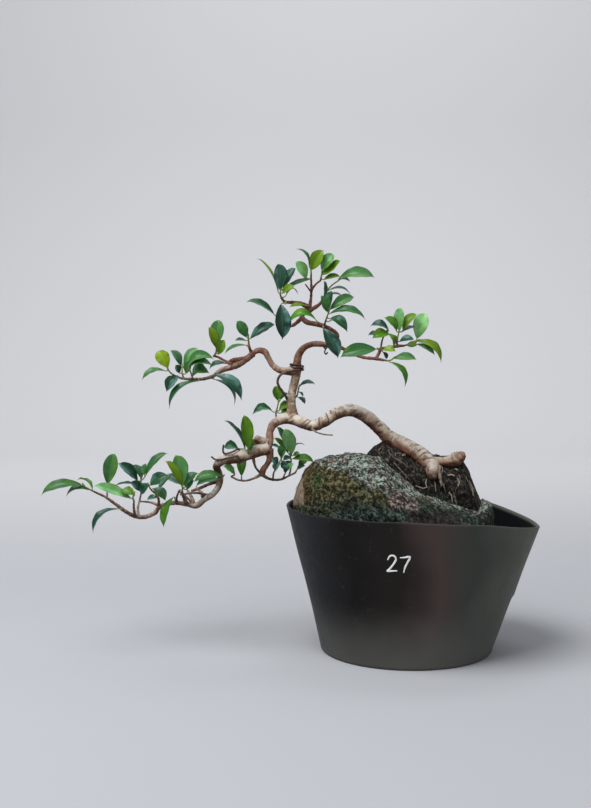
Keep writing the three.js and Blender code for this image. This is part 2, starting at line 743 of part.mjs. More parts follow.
// Every shoot: its stem as rows of x, z, y, and its leaves as above.
const SHOOTS = {
  far_tip: {
    stem: [[-322, 162.6, -5], [-328, 165.5, -6], [-335, 169.5, -6]],
    leaves: [
      [-338, 171.5, -380.5, 162.5, 13, 42, 6, -8],
      [-327, 167, -342, 177.5, 10.5, 80, 3.5, 7],
      [-331, 166, -354.5, 160, 11.5, 62, 4.5, -2],
    ],
  },
  far_upright: {
    stem: [[-312, 157.5, -3], [-311.7, 164, 0], [-311.3, 171, 2]],
    leaves: [[-311.3, 172, -304, 205.5, 15.5, 10, 2, 6]],
  },
  far_under: {
    stem: [[-296, 145, -1], [-299, 146.2, -6]],
    leaves: [[-300, 146.2, -327.5, 122, 11, 62, 8, -8]],
  },
  far_front: {
    stem: [[-284, 154, -9], [-285, 158, -13], [-284, 161, -15]],
    leaves: [
      [-287, 157, -325.5, 171, 12, 35, 2.5, -12],
      [-283, 160, -297, 165.5, 10.5, 40, 2, 2],
    ],
  },
  far_crown: {
    stem: [[-278.5, 153.5, 12], [-277, 160, 14], [-276, 168, 15], [-276.5, 176, 15]],
    leaves: [
      [-280, 175, -300, 194.5, 12.5, 35, 3, -6],
      [-276, 177, -286, 192.5, 11.5, 45, 2.5, 7],
      [-279, 171, -305, 170, 9, 75, 2.5, 9],
      [-272.5, 181, -272, 194, 9, 40, 1.5, 8],
      [-271.5, 181, -249, 205.5, 10.5, 45, 4, 2],
      [-277, 165, -287.5, 174.5, 10.5, 30, 2, -5],
      [-276.8, 162, -267.5, 172, 11.5, 32, 2, -6],
    ],
  },
  far_riser: {
    stem: [[-261.7, 162.4, -3], [-266, 166, -6], [-268.5, 170, -8]],
    leaves: [
      [-267, 171, -248.5, 182, 13, 30, 3, -5],
      [-264, 167.5, -251, 155.5, 11.5, 32, 3, -7],
      [-259.5, 158, -270.5, 156, 7.5, 45, 1.5, 4],
      [-258, 166.5, -244, 183, 10.5, 45, 2, 8],
    ],
  },
  far_low: {
    stem: [[-240.5, 153.5, 0], [-241.5, 158, -6]],
    leaves: [[-243, 158.5, -253.5, 128, 10.5, 38, 5, -5]],
  },
  far_bright: {
    stem: [[-234, 163.3, -9], [-233.5, 169, -11]],
    leaves: [
      [-234.5, 170.5, -251, 197.5, 11, 35, 3, -8],
      [-233.5, 171, -239.5, 204, 16.5, 8, 2, 3],
      [-231, 168.5, -216.5, 184, 11.5, 40, 4, 6],
      [-229, 166.5, -221.5, 177, 7, 40, 1, -6],
    ],
  },
  far_hidden: {
    stem: [[-228, 164.3, 10], [-229.5, 169, 13]],
    leaves: [
      [-231, 170.5, -251, 181, 12, 32, 2, 6],
      [-227.5, 170.5, -221, 181, 9, 45, 2, 10],
    ],
  },
  far_long: {
    stem: [[-193.5, 177.5, 0], [-191, 180, -4]],
    leaves: [
      [-191.5, 181, -221.5, 175, 12, 42, 4, -3],
      [-195, 177.5, -220, 169.5, 11, 50, 3, 16],
    ],
  },
  low_lime: {
    stem: [[-165, 204.5, -9], [-165.3, 207.5, -10.5]],
    leaves: [
      [-165, 209, -169.5, 245.5, 13.5, 12, 2, -3],
      [-168, 208, -190, 240, 11.5, 72, 3.5, 5],
      [-163, 206.5, -161.5, 220, 9, 30, 1, 6],
    ],
  },
  low_side: {
    stem: [[-155, 208, -4.8], [-156.5, 211.5, -2.5]],
    leaves: [[-157, 210, -161, 219.5, 9.5, 35, 1, 3]],
  },
  low_left: {
    stem: [[-168.5, 204.5, -5], [-170, 209, -1.5]],
    leaves: [[-175.5, 209.5, -190, 211, 11, 35, 3, 2]],
  },
  low_down: {
    stem: [[-172, 176.2, -8], [-172, 179, -3]],
    leaves: [[-172, 180.5, -170, 204, 10.5, 15, 1, 10]],
  },
  low_strip: {
    stem: [[-182.7, 180, -8], [-180, 181.5, -8]],
    leaves: [[-178.8, 181.4, -191, 191.5, 9.5, 50, 1.5, -4]],
  },
  inner_shoot: {
    stem: [[-135, 239, 0.5], [-136.3, 245.5, 2.5], [-134.8, 252, 3], [-133.7, 257, 3]],
    leaves: [
      [-134, 259, -136.5, 275, 12, 20, 1, 1],
      [-139.5, 247.5, -160.5, 245.5, 10.5, 45, 7, -5],
      [-133, 248.5, -119, 256.5, 10.5, 40, 2, 8],
      [-131, 246, -121, 250, 8, 35, 1.5, 4],
      [-131.5, 260, -124.5, 267.5, 7, 45, 1, 8],
    ],
  },
  leader_back: {
    stem: [[-118, 261, 3.4], [-114.5, 264.5, 5.5], [-113, 270.5, 6]],
    leaves: [
      [-113.2, 272.5, -95.5, 276.5, 9, 65, 3.5, 1],
      [-113.5, 262.5, -106, 256, 7, 50, 1.5, 1],
      [-112, 268, -108, 263.5, 4.5, 60, 0.5, 3],
    ],
  },
  cluster_tall: {
    stem: [[-122.7, 181, 5], [-121, 188, 8], [-120.6, 196, 9], [-121.5, 202, 9]],
    leaves: [
      [-119.5, 204, -127.5, 231, 15, 12, 3, -4],
      [-124, 206, -135.5, 233, 10.5, 45, 2, 6],
      [-123.5, 204.5, -138.5, 221, 8, 40, 2, -6],
      [-118.5, 208, -106.5, 213, 5.5, 75, 4, 4],
      [-118.5, 202, -111.5, 204.5, 5.5, 30, 1, -3],
      [-120.8, 200, -128.5, 197, 8, 40, 1.5, -4],
      [-120.5, 196, -125.5, 190, 8, 40, 1.5, 4],
      [-119, 198.5, -97, 195.5, 10.5, 40, 3, -8],
    ],
  },
  cluster_edge: {
    stem: [[-116.2, 184, 6], [-114, 188, 9]],
    leaves: [
      [-112.5, 189, -104, 198, 8.5, 35, 2, 6],
      [-114.5, 187.5, -106, 191.5, 7, 40, 1.5, -3],
    ],
  },
  cluster_left: {
    stem: [[-139.5, 177.5, 0], [-138.5, 184, -4], [-135, 191, -6], [-131, 198, -6]],
    leaves: [
      [-131, 200, -133.5, 213, 9, 35, 1.5, -2],
      [-132.5, 209, -143, 211.5, 7.5, 65, 2, 3],
      [-134.5, 193, -141, 199, 9, 30, 1.5, -3],
      [-133.2, 194.5, -136.5, 186, 9, 35, 2, -5],
      [-130.2, 191.8, -125.5, 184.5, 9, 40, 2, 2],
      [-130.5, 197, -128, 188.5, 9, 30, 1, 2],
      [-131, 199, -126.5, 209.5, 8, 35, 1.5, 2],
    ],
  },
  cluster_low: {
    stem: [[-129, 178, 3], [-127, 183, 0]],
    leaves: [[-126, 185, -118, 194, 7.5, 45, 1.5, -3]],
  },
  mid_tip: {
    stem: [[-238.5, 283.6, -3], [-244.5, 287.5, -5], [-247.5, 291, -6]],
    leaves: [
      [-247.5, 293, -258.5, 311, 14.5, 10, 2.5, 3],
      [-249.5, 289.5, -274.5, 281.5, 9, 58, 5.5, -6],
      [-236.5, 284.8, -249, 269, 12.5, 30, 4, -8],
    ],
  },
  mid_under: {
    stem: [[-215.5, 281.8, -1], [-216.5, 279.6, -5]],
    leaves: [[-217.5, 279.4, -247, 252.5, 12, 60, 7.5, -7]],
  },
  mid_left: {
    stem: [[-231.5, 282.3, -2], [-233, 288, 3], [-232.7, 293, 5]],
    leaves: [
      [-234, 294.5, -245, 311.5, 10.5, 35, 2.5, 5],
      [-231, 294.5, -216.5, 314, 10.5, 35, 3.5, 8],
      [-236, 287.5, -239.5, 296.5, 7.5, 30, 1, -3],
      [-229, 287, -224, 301, 9, 30, 1.5, -7],
    ],
  },
  mid_arch: {
    stem: [[-222, 281.7, -1], [-224, 288, -8], [-225, 291, -10]],
    leaves: [
      [-228, 293, -200, 303, 12, 45, 10, 2],
      [-226, 291, -202, 296.5, 11, 48, 8, -6],
      [-221, 287.5, -205, 288.5, 11.5, 38, 6, -13],
      [-222, 284.5, -210, 297, 9.5, 30, 3, 4],
    ],
  },
  mid_droop: {
    stem: [[-201.5, 284.8, 0], [-200.5, 286, -5]],
    leaves: [[-200, 285.5, -171.5, 261, 15, 42, 8, -6]],
  },
  mid_droop_back: {
    stem: [[-202.5, 283.5, 2], [-200.5, 281.5, 6]],
    leaves: [[-199.5, 281, -178.5, 255.5, 9.5, 60, 7, 5]],
  },
  mid_dark: {
    stem: [[-188, 299, 6], [-187.5, 297.5, 10]],
    leaves: [[-188.5, 297.5, -205, 292, 9.5, 55, 3, 4]],
  },
  mid_bright: {
    stem: [[-200.2, 305, 9], [-198, 309, 6], [-197.3, 314, 5]],
    leaves: [
      [-198, 314, -205.5, 336, 11.5, 30, 2, -6],
      [-197, 317, -195, 343.5, 14.5, 8, 2, 4],
      [-195, 307, -189.5, 322.5, 11, 20, 1.5, -4],
    ],
  },
  mid_spur: {
    stem: [[-164.2, 319.2, 9], [-164.5, 323, 9]],
    leaves: [
      [-166, 324.5, -176, 342, 11.5, 12, 2, -2],
      [-162.5, 323, -137, 338.5, 12.5, 35, 3.5, 3],
      [-167, 321, -178, 321.5, 6.5, 60, 1, -3],
    ],
  },
  mid_spur_low: {
    stem: [[-163.5, 314, 8.5], [-166, 316, 3]],
    leaves: [[-167, 316.5, -189, 308, 8, 62, 3, -4]],
  },
  apex_fan: {
    stem: [[-130.2, 364.5, -1], [-131.8, 369, -2], [-131, 373, -2]],
    leaves: [
      [-133.5, 370, -155.5, 407, 9, 75, 4, 3],
      [-132, 373, -133, 401, 14.5, 10, 2, 2],
      [-128.5, 373.5, -116, 396.5, 10.5, 35, 2, 8],
      [-126.5, 375, -99, 385, 10.5, 62, 0, 10],
      [-129.5, 369.5, -117, 377, 9.5, 38, 2, -6],
      [-126, 367, -113.5, 369, 7, 70, 7, 6],
    ],
  },
  apex_droop: {
    stem: [[-126, 361, -1], [-126, 359, -5]],
    leaves: [[-131, 358.5, -129, 323.5, 17, 12, 4, -5]],
  },
  apex_teal: {
    stem: [[-125.5, 336, 8], [-131, 341, 8], [-135, 345.5, 7]],
    leaves: [[-138, 348, -166.5, 362, 11, 50, 4, -3]],
  },
  apex_arch: {
    stem: [[-92, 338, 1], [-92.3, 339.8, -3]],
    leaves: [[-94, 341, -124.5, 339, 10.5, 45, 13, -3]],
  },
  apex_olive: {
    stem: [[-104, 356.5, 2], [-105.5, 357, -3]],
    leaves: [[-107, 357.5, -122, 356, 6.5, 50, 1.5, -2]],
  },
  apex_crown: {
    stem: [[-100, 385.3, 1], [-100, 391, 0], [-100.5, 395, 0]],
    leaves: [
      [-102, 397, -115.5, 415.5, 8.5, 72, 5, 4],
      [-99.5, 393.5, -87.5, 414.5, 14, 15, 2.5, -4],
      [-105, 384.5, -115.5, 403, 11.5, 25, 2, -3],
    ],
  },
  apex_crown_right: {
    stem: [[-90.3, 382.7, -1], [-89.5, 387, -2], [-89, 391, -2]],
    leaves: [
      [-89, 392.5, -77.5, 411, 12.5, 22, 2, 3],
      [-90, 388, -70, 404, 11.5, 42, -2.5, -5],
      [-87, 383.5, -70, 387, 9, 50, 2, -2],
    ],
  },
  apex_sail: {
    stem: [[-88.2, 361.7, 1], [-85, 370, 5], [-79, 377.5, 6], [-72, 382.5, 5]],
    leaves: [
      [-71, 385.5, -35, 387, 13.5, 35, 7, -6],
      [-70, 384, -60, 381.5, 5.5, 60, 2, 3],
      [-82, 372.5, -59, 368, 7, 65, 5.5, 4],
      [-83, 367, -67, 366, 5.5, 70, 3, 6],
      [-86.5, 364.5, -86.5, 383, 8.5, 60, 1, -4],
    ],
  },
  apex_hub: {
    stem: [[-86, 337.5, 1], [-84.5, 343, -4], [-82, 350, -6]],
    leaves: [
      [-81.5, 352.5, -79, 373, 10.5, 40, 1, 2],
      [-83, 350.5, -89.5, 368, 11.5, 28, 1.5, -5],
      [-80.5, 353, -55.5, 366.5, 12, 30, 3, 4],
      [-81, 348.5, -44, 344, 11, 46, 8.5, -3],
      [-81, 343.5, -62.5, 331, 11.5, 32, 7.5, -9],
      [-82, 340.5, -65, 341.5, 7.5, 70, 2.5, 2],
    ],
  },
  apex_dark: {
    stem: [[-86.5, 335.6, 1], [-87.5, 335.5, -4], [-87.5, 334.5, -7.5]],
    leaves: [[-87.5, 333.5, -71.5, 304.5, 15, 20, 3, -7]],
  },
  right_big: {
    stem: [[-29, 312, -8], [-31, 312.5, -13]],
    leaves: [
      [-33, 312.3, -69.5, 305.5, 15, 22, 4, -5],
      [-26, 311.5, -13, 310.5, 9, 42, 2, -4],
      [-26, 309.5, -21.5, 302.5, 5.5, 40, 1, 4],
    ],
  },
  right_olive: {
    stem: [[-28, 313.5, -7], [-27, 320, -5], [-25, 326, -3], [-22.5, 330, -3]],
    leaves: [
      [-20, 331.5, -39, 336.5, 10.5, 50, 5, 3],
      [-20, 328, -36.5, 324, 12, 32, 3, -8],
      [-22, 328.5, -15.5, 314.5, 9, 48, 5.5, 1],
      [-29, 326, -41.5, 326.5, 7, 45, 3, 4],
    ],
  },
  right_crown: {
    stem: [[-11.5, 316.3, -5], [-11, 323, -7], [-9.5, 330, -7]],
    leaves: [
      [-12, 330.5, -24.5, 345.5, 10.5, 45, 3.5, -4],
      [-9, 331, -8.5, 356, 11, 15, 1.5, 2],
      [-5.5, 331.5, 9, 349, 11, 38, 3, 6],
      [-6.5, 330, 7.5, 335.5, 7, 55, 1.5, 7],
      [-9, 320, 6, 322.5, 8.5, 40, 3, -6],
    ],
  },
  right_tip: {
    stem: [[-4.5, 315.8, -5], [2, 317.5, -4], [8, 319.5, -3]],
    leaves: [
      [9, 323, 17.5, 350.5, 15.5, 6, 2, 3],
      [5, 320.5, 34.5, 299.5, 11, 48, 10, 1],
      [-2, 316.5, 9, 316, 8, 40, 1, -5],
      [8, 317.5, 27.5, 307, 7.5, 48, 2.5, -9],
    ],
  },
  right_low: {
    stem: [[-25.3, 301, -9], [-20, 300.3, -11], [-16.5, 301.5, -12]],
    leaves: [
      [-14.5, 302.8, 8.5, 302, 10.5, 35, 2.5, -4],
      [-19, 299, -2.5, 274.5, 9.5, 50, 7, -5],
    ],
  },
};

// Assembly

const COLOURS = {
  tub: new THREE.MeshStandardMaterial({ color: 0x2b2a2a, roughness: 0.6 }),
  soil: new THREE.MeshStandardMaterial({ color: 0x2e241c, roughness: 1 }),
  rock: new THREE.MeshStandardMaterial({ color: 0x77796a, roughness: 0.95 }),
  roots: new THREE.MeshStandardMaterial({ color: 0x33291f, roughness: 1 }),
  bark: new THREE.MeshStandardMaterial({ color: 0x9a8068, roughness: 0.85 }),
  wire: new THREE.MeshStandardMaterial({ color: 0x4a3326, roughness: 0.5, metalness: 0.6 }),
  leaf: new THREE.MeshStandardMaterial({ color: 0x3f7a3a, roughness: 0.4 }),
};

const bonsai = new THREE.Group();
const add = (name, solid, material) => bonsai.add(meshOf(name, solid, material));

const grownRock = rockSolid(GAP);
const grownWood = woodSolid(GAP);

add("tub", tubSolid(), COLOURS.tub);
add("soil", mainBody(soilSolid().subtract(grownRock)), COLOURS.soil);
add("rock", rockSolid(), COLOURS.rock);
add("root_mat", mainBody(matSolid().subtract(grownRock).subtract(grownWood)), COLOURS.roots);
add("trunk_and_branches", mainBody(woodSolid().subtract(grownRock)), COLOURS.bark);

const graftWire = [
  place(-124.6, 260, 10),
  place(-127.2, 265.5, -1),
  place(-132.5, 272.5, -4),
  place(-134.5, 279, -3),
  place(-131, 286, -1.5),
  ...windings(WOOD.leader, 0.51, 0.565, 2.1, WIRE.thick),
];
const lowWire = LOW_WIRE.map(([x, z, y]) => place(x, z, y));
const loopWire = [
  ...windings(WOOD.leader, 0.955, 0.985, 1.1, WIRE.thin),
  place(-86, 309, -9),
  place(-84.5, 307, -8),
  place(-83, 309, -7),
];
const offBark = (wire) => mainBody(wire.subtract(grownWood));
add("wire_at_graft", offBark(wireSolid(graftWire, WIRE.thick)), COLOURS.wire);
add("wire_on_low_branch", offBark(wireSolid(lowWire, WIRE.thick, 2)), COLOURS.wire);
add("wire_loop", offBark(wireSolid(loopWire, WIRE.thin)), COLOURS.wire);

for (const [name, shoot] of Object.entries(SHOOTS))
  add(`leaves_${name}`, mainBody(shootSolid(shoot).subtract(grownWood)), COLOURS.leaf);

export default bonsai;
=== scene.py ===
import bpy
import numpy as np
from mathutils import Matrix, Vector


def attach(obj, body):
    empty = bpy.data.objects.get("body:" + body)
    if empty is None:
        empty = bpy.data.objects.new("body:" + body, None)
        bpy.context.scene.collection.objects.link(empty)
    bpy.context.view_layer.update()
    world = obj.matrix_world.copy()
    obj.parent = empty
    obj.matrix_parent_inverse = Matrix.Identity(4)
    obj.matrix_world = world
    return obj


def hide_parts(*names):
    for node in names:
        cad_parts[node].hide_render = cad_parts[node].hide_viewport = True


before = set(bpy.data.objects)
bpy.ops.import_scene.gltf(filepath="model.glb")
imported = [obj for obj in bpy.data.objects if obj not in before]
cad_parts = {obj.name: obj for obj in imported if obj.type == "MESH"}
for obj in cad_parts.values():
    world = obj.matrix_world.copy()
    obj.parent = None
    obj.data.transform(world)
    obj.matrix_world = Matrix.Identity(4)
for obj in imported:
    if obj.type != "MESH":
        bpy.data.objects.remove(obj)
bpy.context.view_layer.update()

metres = 0.001


# Points, noise and closed skins

def stacked(x, y, z):
    # points from coordinates that are spread against each other
    return np.stack(np.broadcast_arrays(x, y, z), axis=-1)


def turnsRound(count):
    # even turns round a circle
    return 2 * np.pi * np.arange(count) / count


def unit(vectors):
    # each vector divided by its length
    return vectors / np.maximum(np.linalg.norm(vectors, axis=-1, keepdims=True), 1e-9)


def mixed(a, b, share):
    # a where share is 0, b where it is 1
    return a + (b - a) * share


def eased(share):
    # 0 to 1 along a smooth step: 3 t squared less 2 t cubed
    t = np.clip(share, 0, 1)
    return t * t * (3 - 2 * t)


def hill(value, middle, width):
    # 1 at the middle, falling off as a bell of that width
    return np.exp(-(((value - middle) / width) ** 2))


scatter = {  # large numbers that turn a cell's corner and a seed into a random value
    "axes": (73856093, 19349663, 83492791),
    "seed": 2654435,
    "mixes": ((13, 1274126177), (16, 2246822519)),  # bits to shift by, and a factor
    "values": 2**32,
}


def valueNoise(points, cell, seed):
    # smooth noise from -1 to 1: a random value at each corner of cubic cells, blended across the cell
    scaled = np.asarray(points) / cell
    corner = np.floor(scaled).astype(np.int64)
    inside = eased(scaled - corner)
    total = np.zeros(scaled.shape[:-1])
    for step in np.ndindex(2, 2, 2):
        mix = np.bitwise_xor.reduce((corner + step) * scatter["axes"], axis=-1) ^ (seed * scatter["seed"])
        for bits, factor in scatter["mixes"]:
            mix = (mix ^ (mix >> bits)) * factor & (scatter["values"] - 1)
        share = np.prod(np.where(step, inside, 1 - inside), axis=-1)
        total += share * (2 * mix / scatter["values"] - 1)
    return total


def roughness(points, cell, octaves, seed):
    # octaves of noise, each half as large and half as strong as the one before
    return sum(valueNoise(points, cell / 2**k, seed + k) / 2**k for k in range(octaves))


def closedSkin(rings, first, last, **attributes):
    # rings is (..., n, m, 3): quads join each ring to the next, and a fan to a point closes each end
    count, around = rings.shape[-3:-1]
    hub = count * around
    bars = rings.reshape(-1, hub, 3)
    ends = np.stack([np.reshape(first, (-1, 3)), np.reshape(last, (-1, 3))], axis=1)
    at = np.arange(hub).reshape(count, around)
    nextSide = np.roll(at, -1, axis=1)
    quads = np.stack([at[:-1], nextSide[:-1], nextSide[1:], at[1:]], axis=-1).reshape(-1, 4)
    startFan = np.stack([np.full(around, hub), nextSide[0], at[0]], axis=-1)
    endFan = np.stack([np.full(around, hub + 1), at[-1], nextSide[-1]], axis=-1)
    shift = np.arange(len(bars))[:, None, None] * (hub + 2)
    values = {}
    for name, value in attributes.items():
        spread = np.broadcast_to(value, rings.shape[:-1]).reshape(-1, count, around)
        caps = spread[:, [0, -1]].mean(axis=2)
        values[name] = np.concatenate([spread.reshape(-1, hub), caps], axis=1).ravel()
    return {
        "points": np.concatenate([bars, ends], axis=1).reshape(-1, 3),
        "quads": (quads + shift).reshape(-1, 4),
        "tris": (np.concatenate([startFan, endFan]) + shift).reshape(-1, 3),
        "values": values,
    }


def alongside(points):
    # directions along paths (..., n, 3) and two across them, built on the axis each crosses most squarely
    tangents = unit(np.gradient(points, axis=-2))
    squarest = np.abs(tangents).max(axis=-2).argmin(axis=-1)
    axis = -np.eye(3)[squarest][..., None, :]
    normals = unit(axis - (tangents * axis).sum(axis=-1, keepdims=True) * tangents)
    return tangents, normals, np.cross(tangents, normals)


def spokesAlong(points, sides):
    # directions outwards at even turns round each point of a path
    _, normals, across = alongside(points)
    turn = turnsRound(sides)[:, None]
    return normals[..., None, :] * np.cos(turn) + across[..., None, :] * np.sin(turn)


def roundBar(points, radii, sides, **attributes):
    # circles carried along paths (..., n, 3), of radii (..., n, 1) or (..., n, sides), domed at both ends
    tangents = alongside(points)[0]
    rings = points[..., None, :] + spokesAlong(points, sides) * radii[..., None]
    reach = 0.5 * radii.mean(axis=-1, keepdims=True)
    first = points[..., 0, :] - tangents[..., 0, :] * reach[..., 0, :]
    last = points[..., -1, :] + tangents[..., -1, :] * reach[..., -1, :]
    return closedSkin(rings, first, last, **attributes)


def stepsOf(points):
    # how far it is from each point of a path to the next
    return np.linalg.norm(np.diff(points, axis=0), axis=1)


def piecesOf(steps, spacing, fewest):
    # into how many pieces each step is cut, about one a spacing
    return np.maximum(fewest, np.round(steps / spacing)).astype(int)


def pathLength(points):
    # length along a path up to each of its points
    return np.concatenate([[0], np.cumsum(stepsOf(points))])


def curveThrough(knots, pieces):
    # a centripetal Catmull-Rom curve: between two knots it leaves and arrives along their neighbours' slopes,
    # weighed by the square roots of the distances. Gives points, and the span and share that each lies at
    padded = np.concatenate([[2 * knots[0] - knots[1]], knots, [2 * knots[-1] - knots[-2]]])
    gaps = stepsOf(padded) ** 0.5
    span = np.append(np.repeat(np.arange(len(pieces)), pieces), len(pieces) - 1)
    share = np.append(np.concatenate([np.arange(count) / count for count in pieces]), 1)
    before, start, end, after = (padded[span + k] for k in range(4))
    gapBefore, gap, gapAfter = (gaps[span + k][:, None] for k in range(3))
    leave = ((start - before) / gapBefore - (end - before) / (gapBefore + gap)) * gap + end - start
    arrive = ((after - end) / gapAfter - (after - start) / (gap + gapAfter)) * gap + end - start
    t = share[:, None]
    points = start + leave * t + (3 * (end - start) - 2 * leave - arrive) * t**2
    return points + (2 * (start - end) + leave + arrive) * t**3, span, share


# Where things stand: the front view is laid out on the plane y = 0 as an eye at this point sees it

layout = {
    "eye": (-116, -1340, 361),  # where the camera stands
    "spread": 2.3,  # limb depths in the tables are shares of this
}


def place(x, z, y):
    # the point at depth y that the eye sees at x, z of the front plane
    eyeX, eyeY, eyeZ = layout["eye"]
    reach = (y - eyeY) / -eyeY
    return stacked(eyeX + (x - eyeX) * reach, y, eyeZ + (z - eyeZ) * reach)


def frontView(points):
    # x and z at which the eye sees points on the front plane
    eyeX, eyeY, eyeZ = layout["eye"]
    reach = (points[..., 1] - eyeY) / -eyeY
    return eyeX + (points[..., 0] - eyeX) / reach, eyeZ + (points[..., 2] - eyeZ) / reach


def seenFrom(points, x, z):
    # how far points are seen from x, z of the front plane
    seenX, seenZ = frontView(points)
    return np.hypot(seenX - x, seenZ - z)


def limbPath(rows, spacing, fewest=1):
    # points and radii along rows of x, z, depth and radius, about one a spacing of the front plane
    rows = np.array(rows, float)
    knots = place(rows[:, 0], rows[:, 1], layout["spread"] * rows[:, 2])
    flat = np.hypot(*np.diff(rows[:, :2], axis=0).T)
    points, span, share = curveThrough(knots, piecesOf(flat, spacing, fewest))
    return points, mixed(rows[span, 3], rows[span + 1, 3], share)


# Meshes

def newObject(name, data):
    # an object at the origin that shows a mesh, a light or a camera
    thing = bpy.data.objects.new(name, data)
    bpy.context.scene.collection.objects.link(thing)
    return thing


def makePiece(name, skins, material, slotName, *nodes):
    # one mesh from closed skins, in metres, that stands for the CAD nodes named
    starts = np.cumsum([0] + [len(skin["points"]) for skin in skins[:-1]])
    points = np.concatenate([skin["points"] for skin in skins]) * metres
    quads = np.concatenate([skin["quads"] + start for skin, start in zip(skins, starts)])
    tris = np.concatenate([skin["tris"] + start for skin, start in zip(skins, starts)])
    mesh = bpy.data.meshes.new(name)
    mesh.vertices.add(len(points))
    mesh.vertices.foreach_set("co", points.astype(np.float32).ravel())
    corners = np.concatenate([quads.ravel(), tris.ravel()])
    mesh.loops.add(len(corners))
    mesh.loops.foreach_set("vertex_index", corners.astype(np.int32))
    sizes = np.concatenate([np.full(len(quads), 4), np.full(len(tris), 3)])
    mesh.polygons.add(len(sizes))
    mesh.polygons.foreach_set("loop_start", np.concatenate([[0], np.cumsum(sizes)[:-1]]).astype(np.int32))
    mesh.update(calc_edges=True)
    mesh.polygons.foreach_set("use_smooth", np.ones(len(sizes), bool))
    for key in skins[0]["values"]:
        layer = mesh.attributes.new(key, "FLOAT", "POINT")
        merged = np.concatenate([skin["values"][key] for skin in skins])
        layer.data.foreach_set("value", merged.astype(np.float32))
    mesh.materials.append(material)
    piece = newObject(name, mesh)
    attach(piece, "root")
    if nodes:
        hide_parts(*nodes)
    return piece


# Shader nodes

def addNode(tree, kind, **inputs):
    # a node whose inputs are linked where a socket is given and set where a value is; i0 is the first input
    node = tree.nodes.new(kind)
    for key, value in inputs.items():
        socket = node.inputs[int(key[1:])] if key[1:].isdigit() else node.inputs[key]
        if isinstance(value, bpy.types.NodeSocket):
            tree.links.new(value, socket)
        else:
            socket.default_value = value
    return node


def treeOf(*values):
    # the node tree of the first socket among values
    return next(value.id_data for value in values if isinstance(value, bpy.types.NodeSocket))


def newMaterial(name):
    # a material, and the point of the surface, in metres, that its patterns read
    material = bpy.data.materials.new(name)
    material.use_nodes = True
    return material, addNode(material.node_tree, "ShaderNodeTexCoord").outputs["Object"]


noiseStep = (3.7, 1.9, 5.3)  # how far apart, in cells, the seeds of a noise read it


def noiseOf(point, cell, detail=3, seed=0, stretch=(1, 1, 1)):
    # noise with features of about one cell, in millimetres, read from another place for each seed
    scale = tuple(1 / (cell * metres * s) for s in stretch)
    shift = tuple(seed * step for step in noiseStep)
    tree = treeOf(point)
    mapping = addNode(tree, "ShaderNodeMapping", Vector=point, Scale=scale, Location=shift)
    texture = addNode(tree, "ShaderNodeTexNoise", Vector=mapping.outputs[0], Scale=1.0, Detail=detail)
    return texture.outputs["Fac"]


def shareOf(value, low, high):
    # 0 below low, 1 above high, eased between
    ends = {"From Min": low, "From Max": high}
    node = addNode(treeOf(value), "ShaderNodeMapRange", Value=value, **ends)
    node.interpolation_type = "SMOOTHSTEP"
    return node.outputs[0]


def spreadOf(value, high, least, most):
    # least where a value is 0, most where it is high
    ends = {"From Max": high, "To Min": least, "To Max": most}
    return addNode(treeOf(value), "ShaderNodeMapRange", Value=value, **ends).outputs[0]


def mathOf(operation, a, b=0.0):
    # what an operation makes of two values
    node = addNode(treeOf(a), "ShaderNodeMath", i0=a, i1=b)
    node.operation = operation
    return node.outputs[0]


def timesOf(a, b):
    # a times b
    return mathOf("MULTIPLY", a, b)


def plusOf(a, b, times=1):
    # a plus so many times b
    return mathOf("ADD", a, b if times == 1 else timesOf(b, times))


def colourOf(value):
    # a screen colour as three numbers to 255, made linear
    share = np.array(value) / 255
    linear = np.where(share < 0.04045, share / 12.92, ((share + 0.055) / 1.055) ** 2.4)
    return (*linear, 1.0)


def blendOf(share, a, b):
    # colour a where share is 0, b where it is 1
    tree = treeOf(share, a, b)
    node = tree.nodes.new("ShaderNodeMix")
    node.data_type = "RGBA"
    for index, value in ((0, share), (6, a), (7, b)):
        if isinstance(value, bpy.types.NodeSocket):
            tree.links.new(value, node.inputs[index])
        else:
            node.inputs[index].default_value = value if index == 0 else colourOf(value)
    return node.outputs[2]


def tinted(colour, share, most, tint):
    # a colour that goes as far as most of the way to a tint, where share is 1
    return blendOf(timesOf(share, most), colour, tint)


def rampOf(value, *stops):
    # colours at positions along a value
    node = addNode(treeOf(value), "ShaderNodeValToRGB", Fac=value)
    while len(node.color_ramp.elements) < len(stops):
        node.color_ramp.elements.new(0.5)
    for element, (position, colour) in zip(node.color_ramp.elements, stops):
        element.position = position
        element.color = colourOf(colour)
    return node.outputs[0]


def attributeOf(material, name):
    # a value that the meshes with this material carry at their points
    node = addNode(material.node_tree, "ShaderNodeAttribute")
    node.attribute_name = name
    return node.outputs["Fac"]


def finished(material, colour, rough, height, depth, specular=0.5, metallic=0.0):
    # the material with its colour, roughness and gloss, and a bump that looks depth millimetres deep
    tree = material.node_tree
    shader = tree.nodes["Principled BSDF"]
    shader.inputs["Specular IOR Level"].default_value = specular
    shader.inputs["Metallic"].default_value = metallic
    tree.links.new(colour, shader.inputs["Base Color"])
    tree.links.new(rough, shader.inputs["Roughness"])
    bump = addNode(tree, "ShaderNodeBump", Height=height, Strength=1.0, Distance=depth * metres)
    tree.links.new(bump.outputs[0], shader.inputs["Normal"])
    return material


print("frame loaded, tools ready")


# Tub

